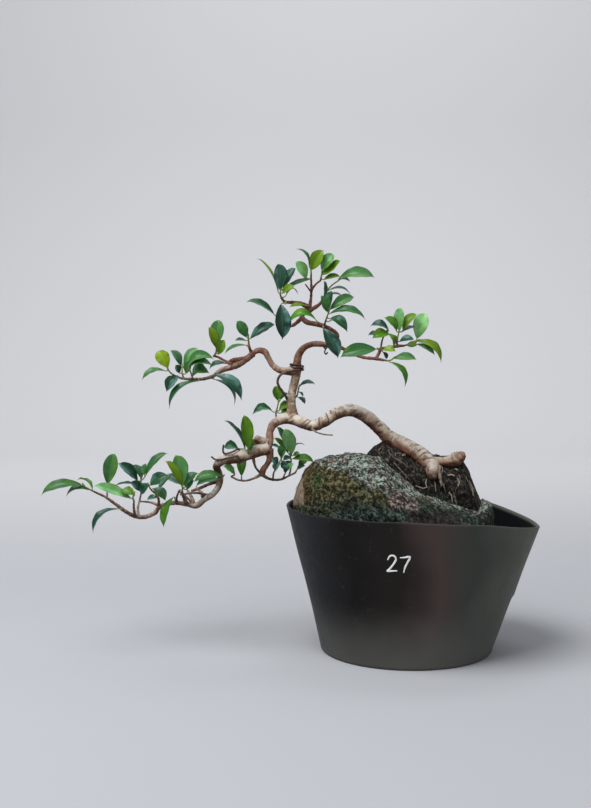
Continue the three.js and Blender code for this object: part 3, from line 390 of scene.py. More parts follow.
tub = {
    "height": 150,
    "dip": 20,  # how far the rim drops at its right corner
    "dipPower": 4.7,  # how closely the dip keeps to that corner
    "foot": 88,
    "heel": 90,
    "heelHeight": 4,
    "rimX": 131,
    "rimY": 112,
    "rimShift": 5.6,
    "wall": 2.4,
    "lip": 0.003,  # how far the cut edge of the rim is rounded up, as a share of the height
    "floor": 2.8,
    "bend": 5,  # how far in from the wall the floor starts
    "sides": 240,
    "rows": 75,
    "dent": 0.9,  # how far the thin wall waves in and out
    "dentCell": 46,
    "dentTall": 0.7,  # dents are this much slower up the wall
    "cutWave": 0.5,  # how unevenly the rim was cut
    "foldTurn": -0.12,  # a kinked spot low on the right
    "foldHeight": 59,
    "foldDepth": 1.5,
    "foldWidth": 0.3,  # in radians
    "foldRise": 4,  # height in which the wall steps out at the kink
    "foldFade": 28,  # how far above the kink it comes back
    "drains": 5,
    "drainRadius": 5,
    "drainRing": 55,
    "drainSides": 24,
    "drainCut": (-6.0, 9.0),  # from below the floor to above it
}


def tubPoint(rise, turn, inset):
    # the wall at a share of its height: an oval that widens evenly to the rim, waved by slow noise, with a
    # kink at the right where the wall above stands proud
    heel = tub["heel"] - inset
    x = heel + (tub["rimX"] - inset - heel) * rise
    y = heel + (tub["rimY"] - inset - heel) * rise
    corner = ((1 + np.cos(turn)) / 2) ** tub["dipPower"]
    wave = tub["cutWave"] * np.sin(7 * turn + 1) * np.sin(3 * turn) * rise**6
    rim = tub["height"] - tub["dip"] * corner + wave
    z = tub["heelHeight"] + (rim - tub["heelHeight"]) * rise
    about = stacked(tub["heel"] * np.cos(turn), tub["heel"] * np.sin(turn), z * tub["dentTall"])
    dent = tub["dent"] * roughness(about, tub["dentCell"], 2, 11) * eased(rise * 3)
    over = z - tub["foldHeight"]
    above = eased(over / tub["foldRise"] + 0.5) * np.exp(-np.maximum(over, 0) / tub["foldFade"])
    for middle in (tub["foldTurn"], tub["foldTurn"] + 2 * np.pi):
        dent = dent + tub["foldDepth"] * above * hill(turn, middle, tub["foldWidth"])
    return stacked(tub["rimShift"] * rise + (x + dent) * np.cos(turn), (y + dent) * np.sin(turn), z)


def tubSkin():
    # rings from the underside's middle out, up the wall, over the cut rim and down to the floor's middle
    turn = turnsRound(tub["sides"])
    up = np.linspace(0, 1, tub["rows"])
    wall, foot, heel = tub["wall"], tub["foot"], tub["heel"]

    def disc(radius, z):
        # flat rings of those radii at a height
        radius = radius[:, None]
        return stacked(radius * np.cos(turn), radius * np.sin(turn), np.reshape(z, (-1, 1)))

    bend = np.linspace(0, 1, 6) * np.pi / 2
    outwards, upwards = np.sin(bend), 1 - np.cos(bend)
    under = disc(foot * np.linspace(0.1, 1, 10), 0.0)
    heelOut = disc(mixed(foot, heel, outwards)[1:-1], (tub["heelHeight"] * upwards)[1:-1])
    outside = tubPoint(up[:, None], turn, 0)
    over = np.array([0.25, 0.5, 0.75])
    rim = tubPoint(1 + tub["lip"] * np.sin(over * np.pi)[:, None], turn, (wall * over)[:, None])
    inside = tubPoint(up[::-2, None], turn, wall)
    lift = tub["heelHeight"] - tub["floor"]
    heelIn = disc(heel - wall - tub["bend"] * upwards[1:], tub["floor"] + lift * (1 - outwards[1:]))
    floor = disc((heel - wall - tub["bend"]) * np.linspace(0.92, 0.08, 10), tub["floor"])
    rings = np.concatenate([under, heelOut, outside, rim, inside, heelIn, floor])
    # hidden marks the inner wall and floor, which the colour darkens as painted shade
    edge, hidden = np.zeros((2, len(rings), 1))
    at = len(under) + len(heelOut) + len(outside)
    edge[at : at + len(rim)] = 1
    hidden[at + len(rim) + 1 :] = 1
    return closedSkin(rings, (0, 0, 0), (0, 0, tub["floor"]), edge=edge, hidden=hidden)


def tubMaterial():
    # near-black sheet plastic with painted reflections in bands across it: a pale sheen at the left edge, a
    # brownish highlight right of the middle and greenish and pale sheens at the right; dusty low down, and
    # darker inside as painted shade
    material, point = newMaterial("tubPlastic")
    split = addNode(treeOf(point), "ShaderNodeSeparateXYZ", Vector=point)
    patch = noiseOf(point, 75, 2, 3)
    spot = noiseOf(point, 9, 4, 5)
    scratch = noiseOf(point, 3, 2, 8, (0.4, 0.4, 9))
    across = plusOf(split.outputs[0], patch, 0.06)
    # painted reflection: these colour bands across the front stand in for sheen and highlights on the dark
    # plastic
    colour = rampOf(shareOf(across, -0.12, 0.17), (0, (36, 37, 42)), (0.2, (14, 12, 11)),
        (0.42, (30, 25, 23)), (0.62, (68, 57, 53)), (0.8, (56, 59, 55)), (1, (84, 87, 78)))
    low = mathOf("SUBTRACT", timesOf(patch, 0.05), split.outputs[2])
    colour = tinted(colour, shareOf(low, -0.05, 0.03), 0.75, (88, 88, 84))
    colour = tinted(colour, shareOf(spot, 0.6, 0.8), 0.25, (72, 72, 64))
    colour = tinted(colour, shareOf(scratch, 0.68, 0.78), 0.2, (84, 84, 82))
    colour = tinted(colour, attributeOf(material, "edge"), 0.7, (38, 40, 43))
    # painted shade: the inside is darkened past the plastic's own near-black
    colour = blendOf(attributeOf(material, "hidden"), colour, (3, 4, 6))
    dull = plusOf(spot, attributeOf(material, "hidden"))
    rough = spreadOf(dull, 2, 0.4, 1)
    return finished(material, colour, rough, plusOf(spot, scratch), 0.12, specular=0.15)


def cutDrains(piece):
    # five round holes through the floor, made by a boolean whose result becomes the piece's own mesh
    turn = (2 * np.pi * (np.arange(tub["drains"]) + 0.5) / tub["drains"])[:, None, None]
    edge = turnsRound(tub["drainSides"])
    x = tub["drainRing"] * np.cos(turn) + tub["drainRadius"] * np.cos(edge)
    y = tub["drainRing"] * np.sin(turn) + tub["drainRadius"] * np.sin(edge)
    z = np.array(tub["drainCut"])[:, None]
    rings = stacked(x, y, z)
    middles = rings.mean(axis=2)
    skin = closedSkin(rings, middles[:, 0], middles[:, 1])
    mesh = bpy.data.meshes.new("drills")
    faces = [*map(list, skin["quads"].tolist()), *map(list, skin["tris"].tolist())]
    mesh.from_pydata((skin["points"] * metres).tolist(), [], faces)
    drills = newObject("drills", mesh)
    cut = piece.modifiers.new("drains", "BOOLEAN")
    cut.operation = "DIFFERENCE"
    cut.object = drills
    cut.solver = "EXACT"
    bpy.context.view_layer.update()
    done = bpy.data.meshes.new_from_object(piece.evaluated_get(bpy.context.evaluated_depsgraph_get()))
    piece.modifiers.clear()
    piece.data = done
    bpy.data.objects.remove(drills)


tubPiece = makePiece("tub_shell", [tubSkin()], tubMaterial(), "tub", "tub")
cutDrains(tubPiece)
print("tub made")


# A plain lot number brushed on the tub in white

number = {
    "left": -27.5,
    "bottom": 100.5,
    "width": 1.05,  # half the widest stroke
    "atEnds": 0.62,  # width at a stroke's ends, as a share of that
    "pressed": 0.3,  # how much wider it is in its middle
    "uneven": 0.16,
    "unevenCell": 2.2,
    "thick": 0.28,  # half the bead's thickness
    "stand": 0.12,  # how far the paint's middle lies off the wall
    "round": 0.7,  # how far a stroke's two ends bulge
    "spacing": 0.35,
    "sides": 12,
    "strokes": [  # a two, then a seven, as points right of and above the lower left corner
        [(0.4, 12.6), (2.6, 16.4), (6, 16.8), (8.2, 13.6), (6, 8.6), (2.4, 3.6), (0.2, 1.2), (4.6, 1.5),
            (9.2, 1.9)],
        [(12.4, 15), (16.4, 15.4), (21.4, 16), (19.2, 10.4), (17, 5.6), (15.8, 0.4)],
    ],
}


def wallAt(x, z):
    # rise and turn of the front wall's point at x, z, closed in on step by step
    rise = (z - tub["heelHeight"]) / (tub["height"] - tub["heelHeight"])
    turn = -np.arccos(x / tub["rimX"])
    for _ in range(12):
        at = tubPoint(rise, turn, 0)
        rise = rise + (z - at[..., 2]) / tub["height"]
        turn = turn + (x - at[..., 0]) / tub["rimX"] / np.maximum(-np.sin(turn), 0.3)
    return rise, turn


def strokeSkin(knots, seed):
    # a flat bead of paint along a curve on the wall, wide where the brush pressed and thin at its ends
    knots = np.array([(*knot, 0) for knot in knots], float)
    flat = curveThrough(knots, piecesOf(stepsOf(knots), number["spacing"], 2))[0]
    share = np.linspace(0, 1, len(flat))
    rise, turn = wallAt(number["left"] + flat[:, 0], number["bottom"] + flat[:, 1])
    points = tubPoint(rise, turn, -number["stand"])
    along = unit(np.gradient(points, axis=0))
    outwards = unit(tubPoint(rise, turn, -1.0) - tubPoint(rise, turn, 0.0))
    side = unit(np.cross(outwards, along))
    uneven = number["uneven"] * valueNoise(points, number["unevenCell"], seed)
    press = number["width"] * (number["atEnds"] + number["pressed"] * np.sin(np.pi * share) + uneven)
    around = turnsRound(number["sides"])
    wide = np.cos(around)[:, None] * press[:, None, None]
    deep = np.sin(around)[:, None] * number["thick"]
    rings = points[:, None] + wide * side[:, None] + deep * outwards[:, None]
    bulge = along * number["round"]
    return closedSkin(rings, points[0] - bulge[0], points[-1] + bulge[-1])


def paintMaterial():
    # chalky white correction paint, thinner in places
    material, point = newMaterial("paint")
    grain = noiseOf(point, 1.4, 3, 2)
    colour = blendOf(shareOf(grain, 0.35, 0.75), (236, 236, 234), (205, 204, 204))
    return finished(material, colour, shareOf(grain, -1.2, 1.3), grain, 0.06)


strokes = [strokeSkin(knots, 40 + k) for k, knots in enumerate(number["strokes"])]
makePiece("brushed_number", strokes, paintMaterial(), "tub")
print("number brushed on")


# Soil

soil = {
    "level": 108,
    "clearance": 1.2,  # between soil and wall
    "lift": 0.35,  # between soil and floor
    "reachX": 112,
    "reachY": 98,
    "shift": 5,  # the rim's middle lies this far to the right
    "crown": 7,
    "swell": 1.3,  # height of slow humps
    "swellCell": 21,
    "grain": 0.9,
    "grainCell": 4.5,
    "bend": 4.5,  # how far in from the wall its underside starts
    "crumbs": 900,
    "crumbSize": (0.7, 2.1),
    "crumbRise": 0.25,  # height of a crumb's middle over the surface, over its size
    "crumbSides": 6,
    "crumbRings": [-0.75, 0, 0.75],  # where a crumb's rings lie along it, and their radii
    "crumbRadii": [0.62, 1, 0.58],
    "crumbUneven": (0.8, 1.2),  # least and most of a point's share of that radius
    "paleEvery": 8,  # every so many crumbs one is pale
    "sides": 150,
    "rows": 50,
}


def soilHeight(x, y):
    # a low crown in the middle, rough at the size of crumbs
    at = stacked(x, y, 0 * x)
    away = np.hypot(x / soil["reachX"], y / soil["reachY"])
    crown = soil["crown"] * np.clip(1 - away, 0, 1) + soil["swell"] * valueNoise(at, soil["swellCell"], 5)
    return soil["level"] + crown + soil["grain"] * roughness(at, soil["grainCell"], 3, 8)


def soilSkin():
    # rings from under the soil up beside the wall and in over the surface
    turn = turnsRound(soil["sides"])
    inset = tub["wall"] + soil["clearance"]
    level = (soil["level"] - 1 - tub["heelHeight"]) / (tub["height"] - tub["heelHeight"])
    side = tubPoint(np.linspace(0, level, 12)[:, None], turn, inset)
    base = (tub["heel"] - inset - soil["bend"]) * np.array([0.3, 0.7, 1])[:, None]
    bottom = tub["floor"] + soil["lift"]
    base = stacked(base * np.cos(turn), base * np.sin(turn), bottom)
    share = np.linspace(1, 0.03, soil["rows"])[1:, None]
    x, y = share * side[-1, :, 0], share * side[-1, :, 1]
    top = stacked(x, y, soilHeight(x, y))
    rings = np.concatenate([base, side, top])
    middle = soilHeight(np.zeros(1), np.zeros(1))[0]
    return closedSkin(rings, (0, 0, bottom), (0, 0, middle), pale=0.0)


def crumbSkin():
    # small lumps bedded in the surface, some of them pale grains
    chance = np.random.default_rng(21)
    count = soil["crumbs"]
    turn = chance.uniform(0, 2 * np.pi, count)
    away = np.sqrt(chance.uniform(0.02, 0.97, count))
    x = soil["shift"] + soil["reachX"] * away * np.cos(turn)
    y = soil["reachY"] * away * np.sin(turn)
    size = chance.uniform(*soil["crumbSize"], count)
    centre = stacked(x, y, soilHeight(x, y) + size * soil["crumbRise"])
    lean = unit(chance.normal(size=(count, 3)))
    step, wide = (np.array(soil[key])[:, None] for key in ("crumbRings", "crumbRadii"))
    size = size[:, None, None]
    points = centre[:, None] + step * lean[:, None] * size
    uneven = chance.uniform(*soil["crumbUneven"], (count, len(wide), soil["crumbSides"]))
    radii = wide * size * uneven
    pale = (np.arange(count) % soil["paleEvery"] == 0)[:, None, None] * 1.0
    return roundBar(points, radii, soil["crumbSides"], pale=pale)


def soilMaterial():
    # dark crumbly compost with a few pale grains
    material, point = newMaterial("compost")
    crumb = noiseOf(point, 2.5, 4, 1)
    colour = rampOf(crumb, (0.3, (22, 17, 13)), (0.5, (46, 36, 28)), (0.7, (78, 64, 50)))
    colour = blendOf(attributeOf(material, "pale"), colour, (150, 138, 120))
    return finished(material, colour, shareOf(crumb, -2.5, 0.8), crumb, 0.8)


makePiece("soil_bed", [soilSkin(), crumbSkin()], soilMaterial(), "soil", "soil")
print("soil laid")


# Rock

rock = {
    "rows": [  # x, top, bottom, half depth, depth of the middle
        (-118.5, 156, 147, 7, -6), (-114, 170, 130, 18, -8), (-106, 186, 106, 33, -9),
        (-95, 196, 84, 43, -9), (-80, 201, 72, 54, -9), (-62, 206.5, 54, 64, -9), (-45, 206, 52, 69, -9),
        (-26, 200, 52, 72, -9), (-6, 184, 52, 73, -9), (14, 169, 54, 72, -9), (34, 160, 58, 68, -8),
        (54, 152, 64, 60, -6), (70, 147, 74, 48, -4), (80, 157, 88, 34, -2), (87, 152, 108, 18, 0),
        (90, 142, 122, 7, 0)],
    "across": 250,  # rings along x
    "around": 300,  # points round a ring
    "boxy": 2.7,  # power of a section's oval: 2 is round, more has corners
    "coarse": 2.2,  # height of slow lumps
    "ridge": 3.4,  # height of crags
    "chip": 1.3,  # height of broken faces
    "pit": 0.8,  # height of the finest grain
    "wanderCell": 17,  # noise that moves the regions' edges
    "fineCell": 5,
    "line": [  # x, and the height down to which lichen covers the stone
        (-118, 199), (-95, 194), (-78, 189.5), (-68, 185), (-60, 180), (-52, 176), (-42, 168), (-25, 165),
        (-12, 163), (0, 161), (14, 160), (22, 156), (36, 149.5), (50, 147), (70, 141), (90, 147)],
}

rockRegions = {
    # seen from the front: along x or z, past or near a place, a distance, and how far slow and fine noise
    # move that place. Past it the region comes in over the distance, less than 0 for leftwards or downwards.
    # Near it the region falls off as a bell of that width. "above" is the height over the lichen's line
    "lichen": [("above", "past", -3, 6, -2.4, -2.1)],
    "olive": [("x", "past", -38, -12, 12, 0), ("z", "past", 150, 12, -9, 0)],
    "oliveSpot": [("x", "near", -32, 10, 0, 0), ("z", "near", 160, 11, 0, 0)],
    "algae": [("z", "past", 154, -9, 6, 0), ("x", "past", -84, 14, 0, 0)],
    "brown": [("x", "past", -22, 6, 0, 0), ("x", "past", 14, -6, 0, 0), ("z", "past", 143, 4, 0, -3)],
    "dark": [("x", "past", -6, 10, 0, 0), ("x", "past", 60, -8, 0, 0), ("z", "past", 147, -4, 3, 0)],
    "bare": [("x", "past", -107.5, -1.6, 0, 1.2), ("z", "past", 148, 4, 0, 0),
        ("z", "past", 181, -5, 0, 0)],
    "rust": [("x", "near", -103.5, 4.5, 0, 2), ("z", "past", 148, 5, 0, 0)],
    "green": [("x", "near", -94, 5.5, 0, 0), ("z", "near", 176, 7, 0, 0)],
    "sage": [("x", "near", 80, 8, 0, 0), ("z", "past", 148, 4, 0, 0)],
}

mat = {
    "rows": [  # these and the next seven are as the rock's
        (-41, 203, 178, 12, 10), (-34, 210, 168, 24, 12), (-24, 215, 152, 33, 14), (-8, 209, 132, 39, 16),
        (10, 203, 122, 43, 17), (28, 198, 118, 44, 17), (46, 198, 116, 42, 16), (58, 198, 116, 38, 15),
        (66, 182, 116, 34, 14), (74, 162, 116, 28, 12), (81, 146, 118, 19, 10)],
    "across": 190,
    "around": 220,
    "boxy": 2.2,
    "coarse": 1.2,
    "ridge": 2.2,
    "chip": 1.4,
    "pit": 1.1,
    "fibres": 230,
    "fibreSteps": 16,
    "fibreSides": 5,
    "fibreRadii": [0.16, 0.26, 0.42],
    "fibreShares": [0.5, 0.35, 0.15],  # how common each radius is
    "inFront": 0.72,  # share of fibres that hang down the front
    "fibreAt": (0.1, 0.93),  # where along the mat a fibre starts
    "fibreDrift": (-0.09, 0.12),  # how far along it goes
    "fibreStart": (-0.1, 1.5),  # turn from the top at which it starts, in radians
    "fibreFall": (0.1, 0.75),  # how far down it goes, in radians
    "fibreSway": 0.007,  # how far it wanders at each step, over the mat's length
    "fibreRise": (-0.25, 0.8),  # how far it arches off the mat
    "fibreLift": 0.1,  # how far it lies off the mat where it doesn't arch
    "fibreTaper": 0.45,  # its radius at its end, over that at its start
    "threadSteps": 8,  # points from one knot of a bare root to the next
    "threadSides": 8,
    "threadOut": (0, -0.5, 0),  # how far the bare roots stand out at the front
    "threadEnds": 0.55,  # their radius at their ends, over that in their middles
    "behind": 14,  # depth from which the mat is hidden from the eye
    "threads": [  # the radius of each bare root that shows on the mat, then x and z from the front along it
        (0.5, [(32, 195), (36.5, 188), (35, 179), (37.5, 171), (40, 163)]),
        (0.65, [(9, 171), (13, 169), (17, 168), (21, 168.6)]),
        (0.5, [(20, 177), (19.2, 173), (20, 169)]),
        (0.8, [(42, 181), (45, 182), (49, 181)]),
        (0.4, [(27, 181), (28.5, 173), (30, 164)]),
        (0.55, [(43, 163), (46, 160), (47, 153)]),
        (0.6, [(52, 178), (54, 174), (53, 170)]),
        (0.55, [(64, 176), (68, 168), (69, 160)]),
        (1.1, [(-5, 202), (-3.6, 202.6), (-2.4, 202)]),
        (0.9, [(49, 187.5), (50.4, 187.8), (51.6, 187)]),
    ],
}

lump = {  # what the rock and the mat have in common
    "slowEnds": 0.6,  # how much closer rings lie towards the two ends
    "crowd": 0.4,  # how much closer points lie towards the top
    "chipCell": 12,
    "pitCell": 2.6,
    "fade": 0.5,  # power with which crags fade towards the two ends
}


def lumpPoint(shape, share, even):
    # a point of a lump lofted along x: share runs along it, even round it. A section is a boxy oval, and
    # crags push it out by sums and products of slow sines and by noise, fading at the two ends
    rows = np.array(shape["rows"], float)
    slow = (1 - np.cos(np.pi * share)) / 2
    x = rows[0, 0] + (rows[-1, 0] - rows[0, 0]) * (lump["slowEnds"] * slow + (1 - lump["slowEnds"]) * share)
    top, bottom, half, middle = (np.interp(x, rows[:, 0], rows[:, k]) for k in (1, 2, 3, 4))
    turn = even + lump["crowd"] * np.cos(even)
    c, s = np.cos(turn), np.sin(turn)
    wide = (np.abs(c) ** shape["boxy"] + np.abs(s) ** shape["boxy"]) ** (-1 / shape["boxy"])
    y = middle + half * c * wide
    z = (top + bottom) / 2 + (top - bottom) / 2 * s * wide
    x, y, z, c, s, slow = np.broadcast_arrays(x, y, z, c, s, slow)
    at = stacked(x, y, z)
    lumps = np.sin(x / 19 + 1.3) * np.sin(y / 15 + 0.7) + np.sin(z / 17 + x / 31)
    crags = np.sin(x / 6.3 + z / 8.1) * np.sin(y / 6.9 - x / 9.7) * np.sin(z / 5.7 + y / 11)
    chips = 1 - 2 * np.abs(roughness(at, lump["chipCell"], 2, 31))
    pits = roughness(at, lump["pitCell"], 3, 37)
    out = shape["coarse"] * lumps + shape["ridge"] * crags + shape["chip"] * chips + shape["pit"] * pits
    out = out * np.sin(np.pi * slow) ** lump["fade"]
    return stacked(x, y + out * c, z + out * s), stacked(0 * c, c, s)


def lumpGrid(shape):
    # rings of a lump's points, one after the other along x
    share = ((np.arange(shape["across"]) + 0.6) / (shape["across"] + 0.2))[:, None]
    return lumpPoint(shape, share, turnsRound(shape["around"]))[0]


def lumpCaps(shape):
    # the middles of a lump's two ends
    first, last = np.array(shape["rows"], float)[[0, -1]]
    return [(row[0], row[4], (row[1] + row[2]) / 2) for row in (first, last)]


def rockMasks(points):
    # how far pale lichen, olive moss, dark algae, purple-brown stain, soot-dark stone, bare stone, its rusty
    # edge, a green spot and a sage one show, each 0 to 1: the product of what the region's rows give
    x, z = frontView(points)
    seen = {"x": x, "z": z, "above": z - np.interp(x, *np.array(rock["line"], float).T)}
    wander = roughness(points, rock["wanderCell"], 3, 51)
    fine = roughness(points, rock["fineCell"], 2, 57)
    masks = {}
    for name, rows in rockRegions.items():
        mask = 1
        for along, kind, place, over, slowShift, fineShift in rows:
            away = seen[along] - place - slowShift * wander - fineShift * fine
            mask = mask * (eased(away / over) if kind == "past" else hill(away, 0, over))
        masks[name] = mask
    masks["olive"] = np.maximum(masks["olive"], masks.pop("oliveSpot"))
    for name in ("olive", "brown"):
        masks[name] = masks[name] * (1 - masks["lichen"])
    return masks


def rockMaterial():
    # stone flecked all over at two sizes, each region with its own dark, middle and light colour
    material, point = newMaterial("mossyRock")
    fleck = noiseOf(point, 4.2, 4, 1)
    speck = noiseOf(point, 1.9, 2, 6)
    patch = noiseOf(point, 13, 3, 9)
    grain = plusOf(timesOf(fleck, 0.55), speck, 0.45)

    def flecks(dark, middle, light):
        # three colours, from the grain's hollows to its tops
        return rampOf(grain, (0.42, dark), (0.5, middle), (0.58, light))

    regions = {
        "olive": flecks((15, 15, 5), (43, 40, 17), (96, 91, 64)),
        "algae": flecks((10, 17, 16), (26, 37, 34), (72, 84, 76)),
        "brown": flecks((30, 24, 22), (70, 60, 56), (134, 124, 116)),
        "dark": flecks((10, 9, 8), (26, 24, 21), (52, 50, 46)),
        "rust": flecks((24, 17, 5), (56, 40, 16), (100, 82, 48)),
        "green": flecks((10, 26, 8), (24, 48, 18), (60, 90, 50)),
        "sage": flecks((50, 66, 42), (92, 114, 80), (140, 162, 128)),
    }
    colour = flecks((14, 17, 10), (35, 40, 28), (80, 86, 66))
    for name, look in regions.items():
        colour = blendOf(attributeOf(material, name), colour, look)
    grey = flecks((20, 25, 20), (70, 77, 68), (138, 148, 140))
    pink = flecks((25, 22, 18), (67, 61, 55), (124, 118, 109))
    lichen = blendOf(shareOf(patch, 0.46, 0.6), grey, pink)
    colour = blendOf(attributeOf(material, "lichen"), colour, lichen)
    bare = rampOf(grain, (0.35, (82, 68, 51)), (0.5, (114, 99, 82)), (0.65, (137, 124, 107)))
    colour = blendOf(attributeOf(material, "bare"), colour, bare)
    return finished(material, colour, shareOf(fleck, -3, 0.8), grain, 1.1, specular=0.25)


rockPoints = lumpGrid(rock)
rockSkin = closedSkin(rockPoints, *lumpCaps(rock), **rockMasks(rockPoints))
makePiece("rock_face", [rockSkin], rockMaterial(), "rock", "rock")
print("rock made")


# Moss tufts on the rock

moss = {
    "blades": 5200,
    "tries": 6,  # places looked at for each blade
    "length": 1.9,
    "radius": 0.22,
    "root": 0.3,  # how deep a blade starts in the stone
    "above": 128,  # height of the rim, below which nothing grows
    "anywhere": 0.06,  # how likely a blade is, and how much more so in a region
    "likes": {"olive": 0.8, "algae": 0.4, "green": 1, "bare": -1, "lichen": -0.6},
    "patchCell": 7,
    "unruly": 0.55,  # how far blades lean every way
    "upwards": (0, 0, 0.3),  # and how far they lean up
    "lengths": (0.4, 1.2),  # least and most share of the length
    "taper": [1, 0.8, 0.25],  # shares of the radius up a blade
    "sides": 3,
}


def mossSkin():
    # short leaning spikes on stone that olive moss covers, and a few elsewhere above the tub's rim
    chance = np.random.default_rng(33)
    count = moss["blades"] * moss["tries"]
    share, even = chance.uniform(0.03, 0.97, count), chance.uniform(0, 2 * np.pi, count)
    points, outwards = lumpPoint(rock, share, even)
    masks = rockMasks(points)
    wanted = sum((masks[name] * liked for name, liked in moss["likes"].items()), moss["anywhere"])
    wanted = wanted * (points[:, 2] > moss["above"]) * (0.5 + roughness(points, moss["patchCell"], 2, 61))
    chosen = np.argsort(chance.uniform(size=count) - wanted)[: moss["blades"]]
    points, outwards = points[chosen], outwards[chosen]
    lean = unit(outwards + moss["upwards"] + moss["unruly"] * chance.normal(size=points.shape))
    long = moss["length"] * chance.uniform(*moss["lengths"], (len(points), 1))
    start = points - moss["root"] * lean
    path = np.stack([start, points + long * 0.5 * lean, points + long * lean], axis=1)
    radii = moss["radius"] * np.array(moss["taper"])[:, None] * np.ones((len(points), 1, 1))
    return roundBar(path, radii, moss["sides"], tint=chance.uniform(0, 1, (len(points), 1, 1)))


def mossMaterial():
    # dark olive, paler from place to place and from spike to spike
    material, point = newMaterial("moss")
    patch = noiseOf(point, 14, 3, 2)
    tint = plusOf(patch, attributeOf(material, "tint"), 0.5)
    colour = rampOf(tint, (0.4, (18, 22, 7)), (0.75, (44, 46, 17)), (1, (92, 88, 56)))
    return finished(material, colour, shareOf(patch, -3, 0.8), patch, 0.1)


makePiece("moss_tufts", [mossSkin()], mossMaterial(), "rock")
print("moss grown")


# Root mat with its fine roots

def matMaterial():
    # near-black felt of roots and soil with a few pale crumbs and green spots
    material, point = newMaterial("rootFelt")
    fleck = noiseOf(point, 3.6, 4, 4)
    strand = noiseOf(point, 2.6, 3, 7, (1, 1, 4))
    colour = rampOf(fleck, (0.4, (9, 8, 8)), (0.54, (24, 22, 19)), (0.66, (66, 60, 54)))
    colour = tinted(colour, shareOf(strand, 0.6, 0.68), 0.7, (112, 102, 92))
    green = shareOf(noiseOf(point, 15, 2, 3), 0.55, 0.66)
    colour = tinted(colour, green, 0.6, (20, 34, 18))
    rough = shareOf(fleck, -3, 0.8)
    return finished(material, colour, rough, plusOf(fleck, strand), 1.3, specular=0.25)


matPoints = lumpGrid(mat)
makePiece("root_felt", [closedSkin(matPoints, *lumpCaps(mat))], matMaterial(), "roots", "root_mat")


def fibreSkin():
    # threads that wander from the top of the mat down its front and back, half sunk into it
    chance = np.random.default_rng(45)
    count, steps = mat["fibres"], mat["fibreSteps"]
    going = np.linspace(0, 1, steps)

    def between(key):
        # a value for each fibre, from the first to the second of its key
        return chance.uniform(*mat[key], (count, 1))

    side = chance.choice([1, -1], (count, 1), p=[mat["inFront"], 1 - mat["inFront"]])
    begin = between("fibreStart")
    sway = np.cumsum(chance.normal(size=(count, steps)), axis=1) * mat["fibreSway"]
    share = between("fibreAt") + between("fibreDrift") * going + sway
    even = np.pi / 2 + side * (begin + going * between("fibreFall")) + 2 * sway
    points, outwards = lumpPoint(mat, np.clip(share, 0.02, 0.98), even)
    rise = mat["fibreLift"] + between("fibreRise") * np.sin(np.pi * going)
    points = points + outwards * rise[..., None]
    thick = chance.choice(mat["fibreRadii"], (count, 1), p=mat["fibreShares"])
    radii = (thick * np.linspace(1, mat["fibreTaper"], steps))[..., None]
    return roundBar(points, radii, mat["fibreSides"], pale=chance.uniform(0, 1, (count, 1, 1)))


def fibreMaterial():
    # thin roots, from near black to pale
    material, point = newMaterial("fineRoot")
    grain = noiseOf(point, 1.5, 2, 1)
    shade = plusOf(timesOf(attributeOf(material, "pale"), 0.7), grain, 0.4)
    colour = rampOf(shade, (0.2, (26, 22, 18)), (0.7, (66, 58, 50)), (1.05, (170, 158, 142)))
    return finished(material, colour, shareOf(grain, -2, 0.9), grain, 0.05)


def threadSkins():
    # bare roots laid on the mat's front where the eye sees them
    hidden = 1e3 * (matPoints[..., 1] > mat["behind"])
    skins = []
    for radius, knots in mat["threads"]:
        away = [seenFrom(matPoints, x, z) + hidden for x, z in knots]
        on = np.array([matPoints[np.unravel_index(gap.argmin(), gap.shape)] for gap in away])
        points = curveThrough(on + mat["threadOut"], [mat["threadSteps"]] * (len(on) - 1))[0]
        swell = np.sin(np.pi * np.linspace(0.1, 0.85, len(points)))
        radii = radius * mixed(mat["threadEnds"], 1, swell)
        skins.append(roundBar(points, radii[:, None], mat["threadSides"], pale=1.0))
    return skins


makePiece("fine_roots", [fibreSkin(), *threadSkins()], fibreMaterial(), "roots")
print("root mat made")


# Every limb as rows of x, z, depth and radius, from its thick end, and every shoot: rows of x, z and depth
# for its stem, and for each leaf x and z of its foot and of its tip, width, turn of the face, bow, lean, tone

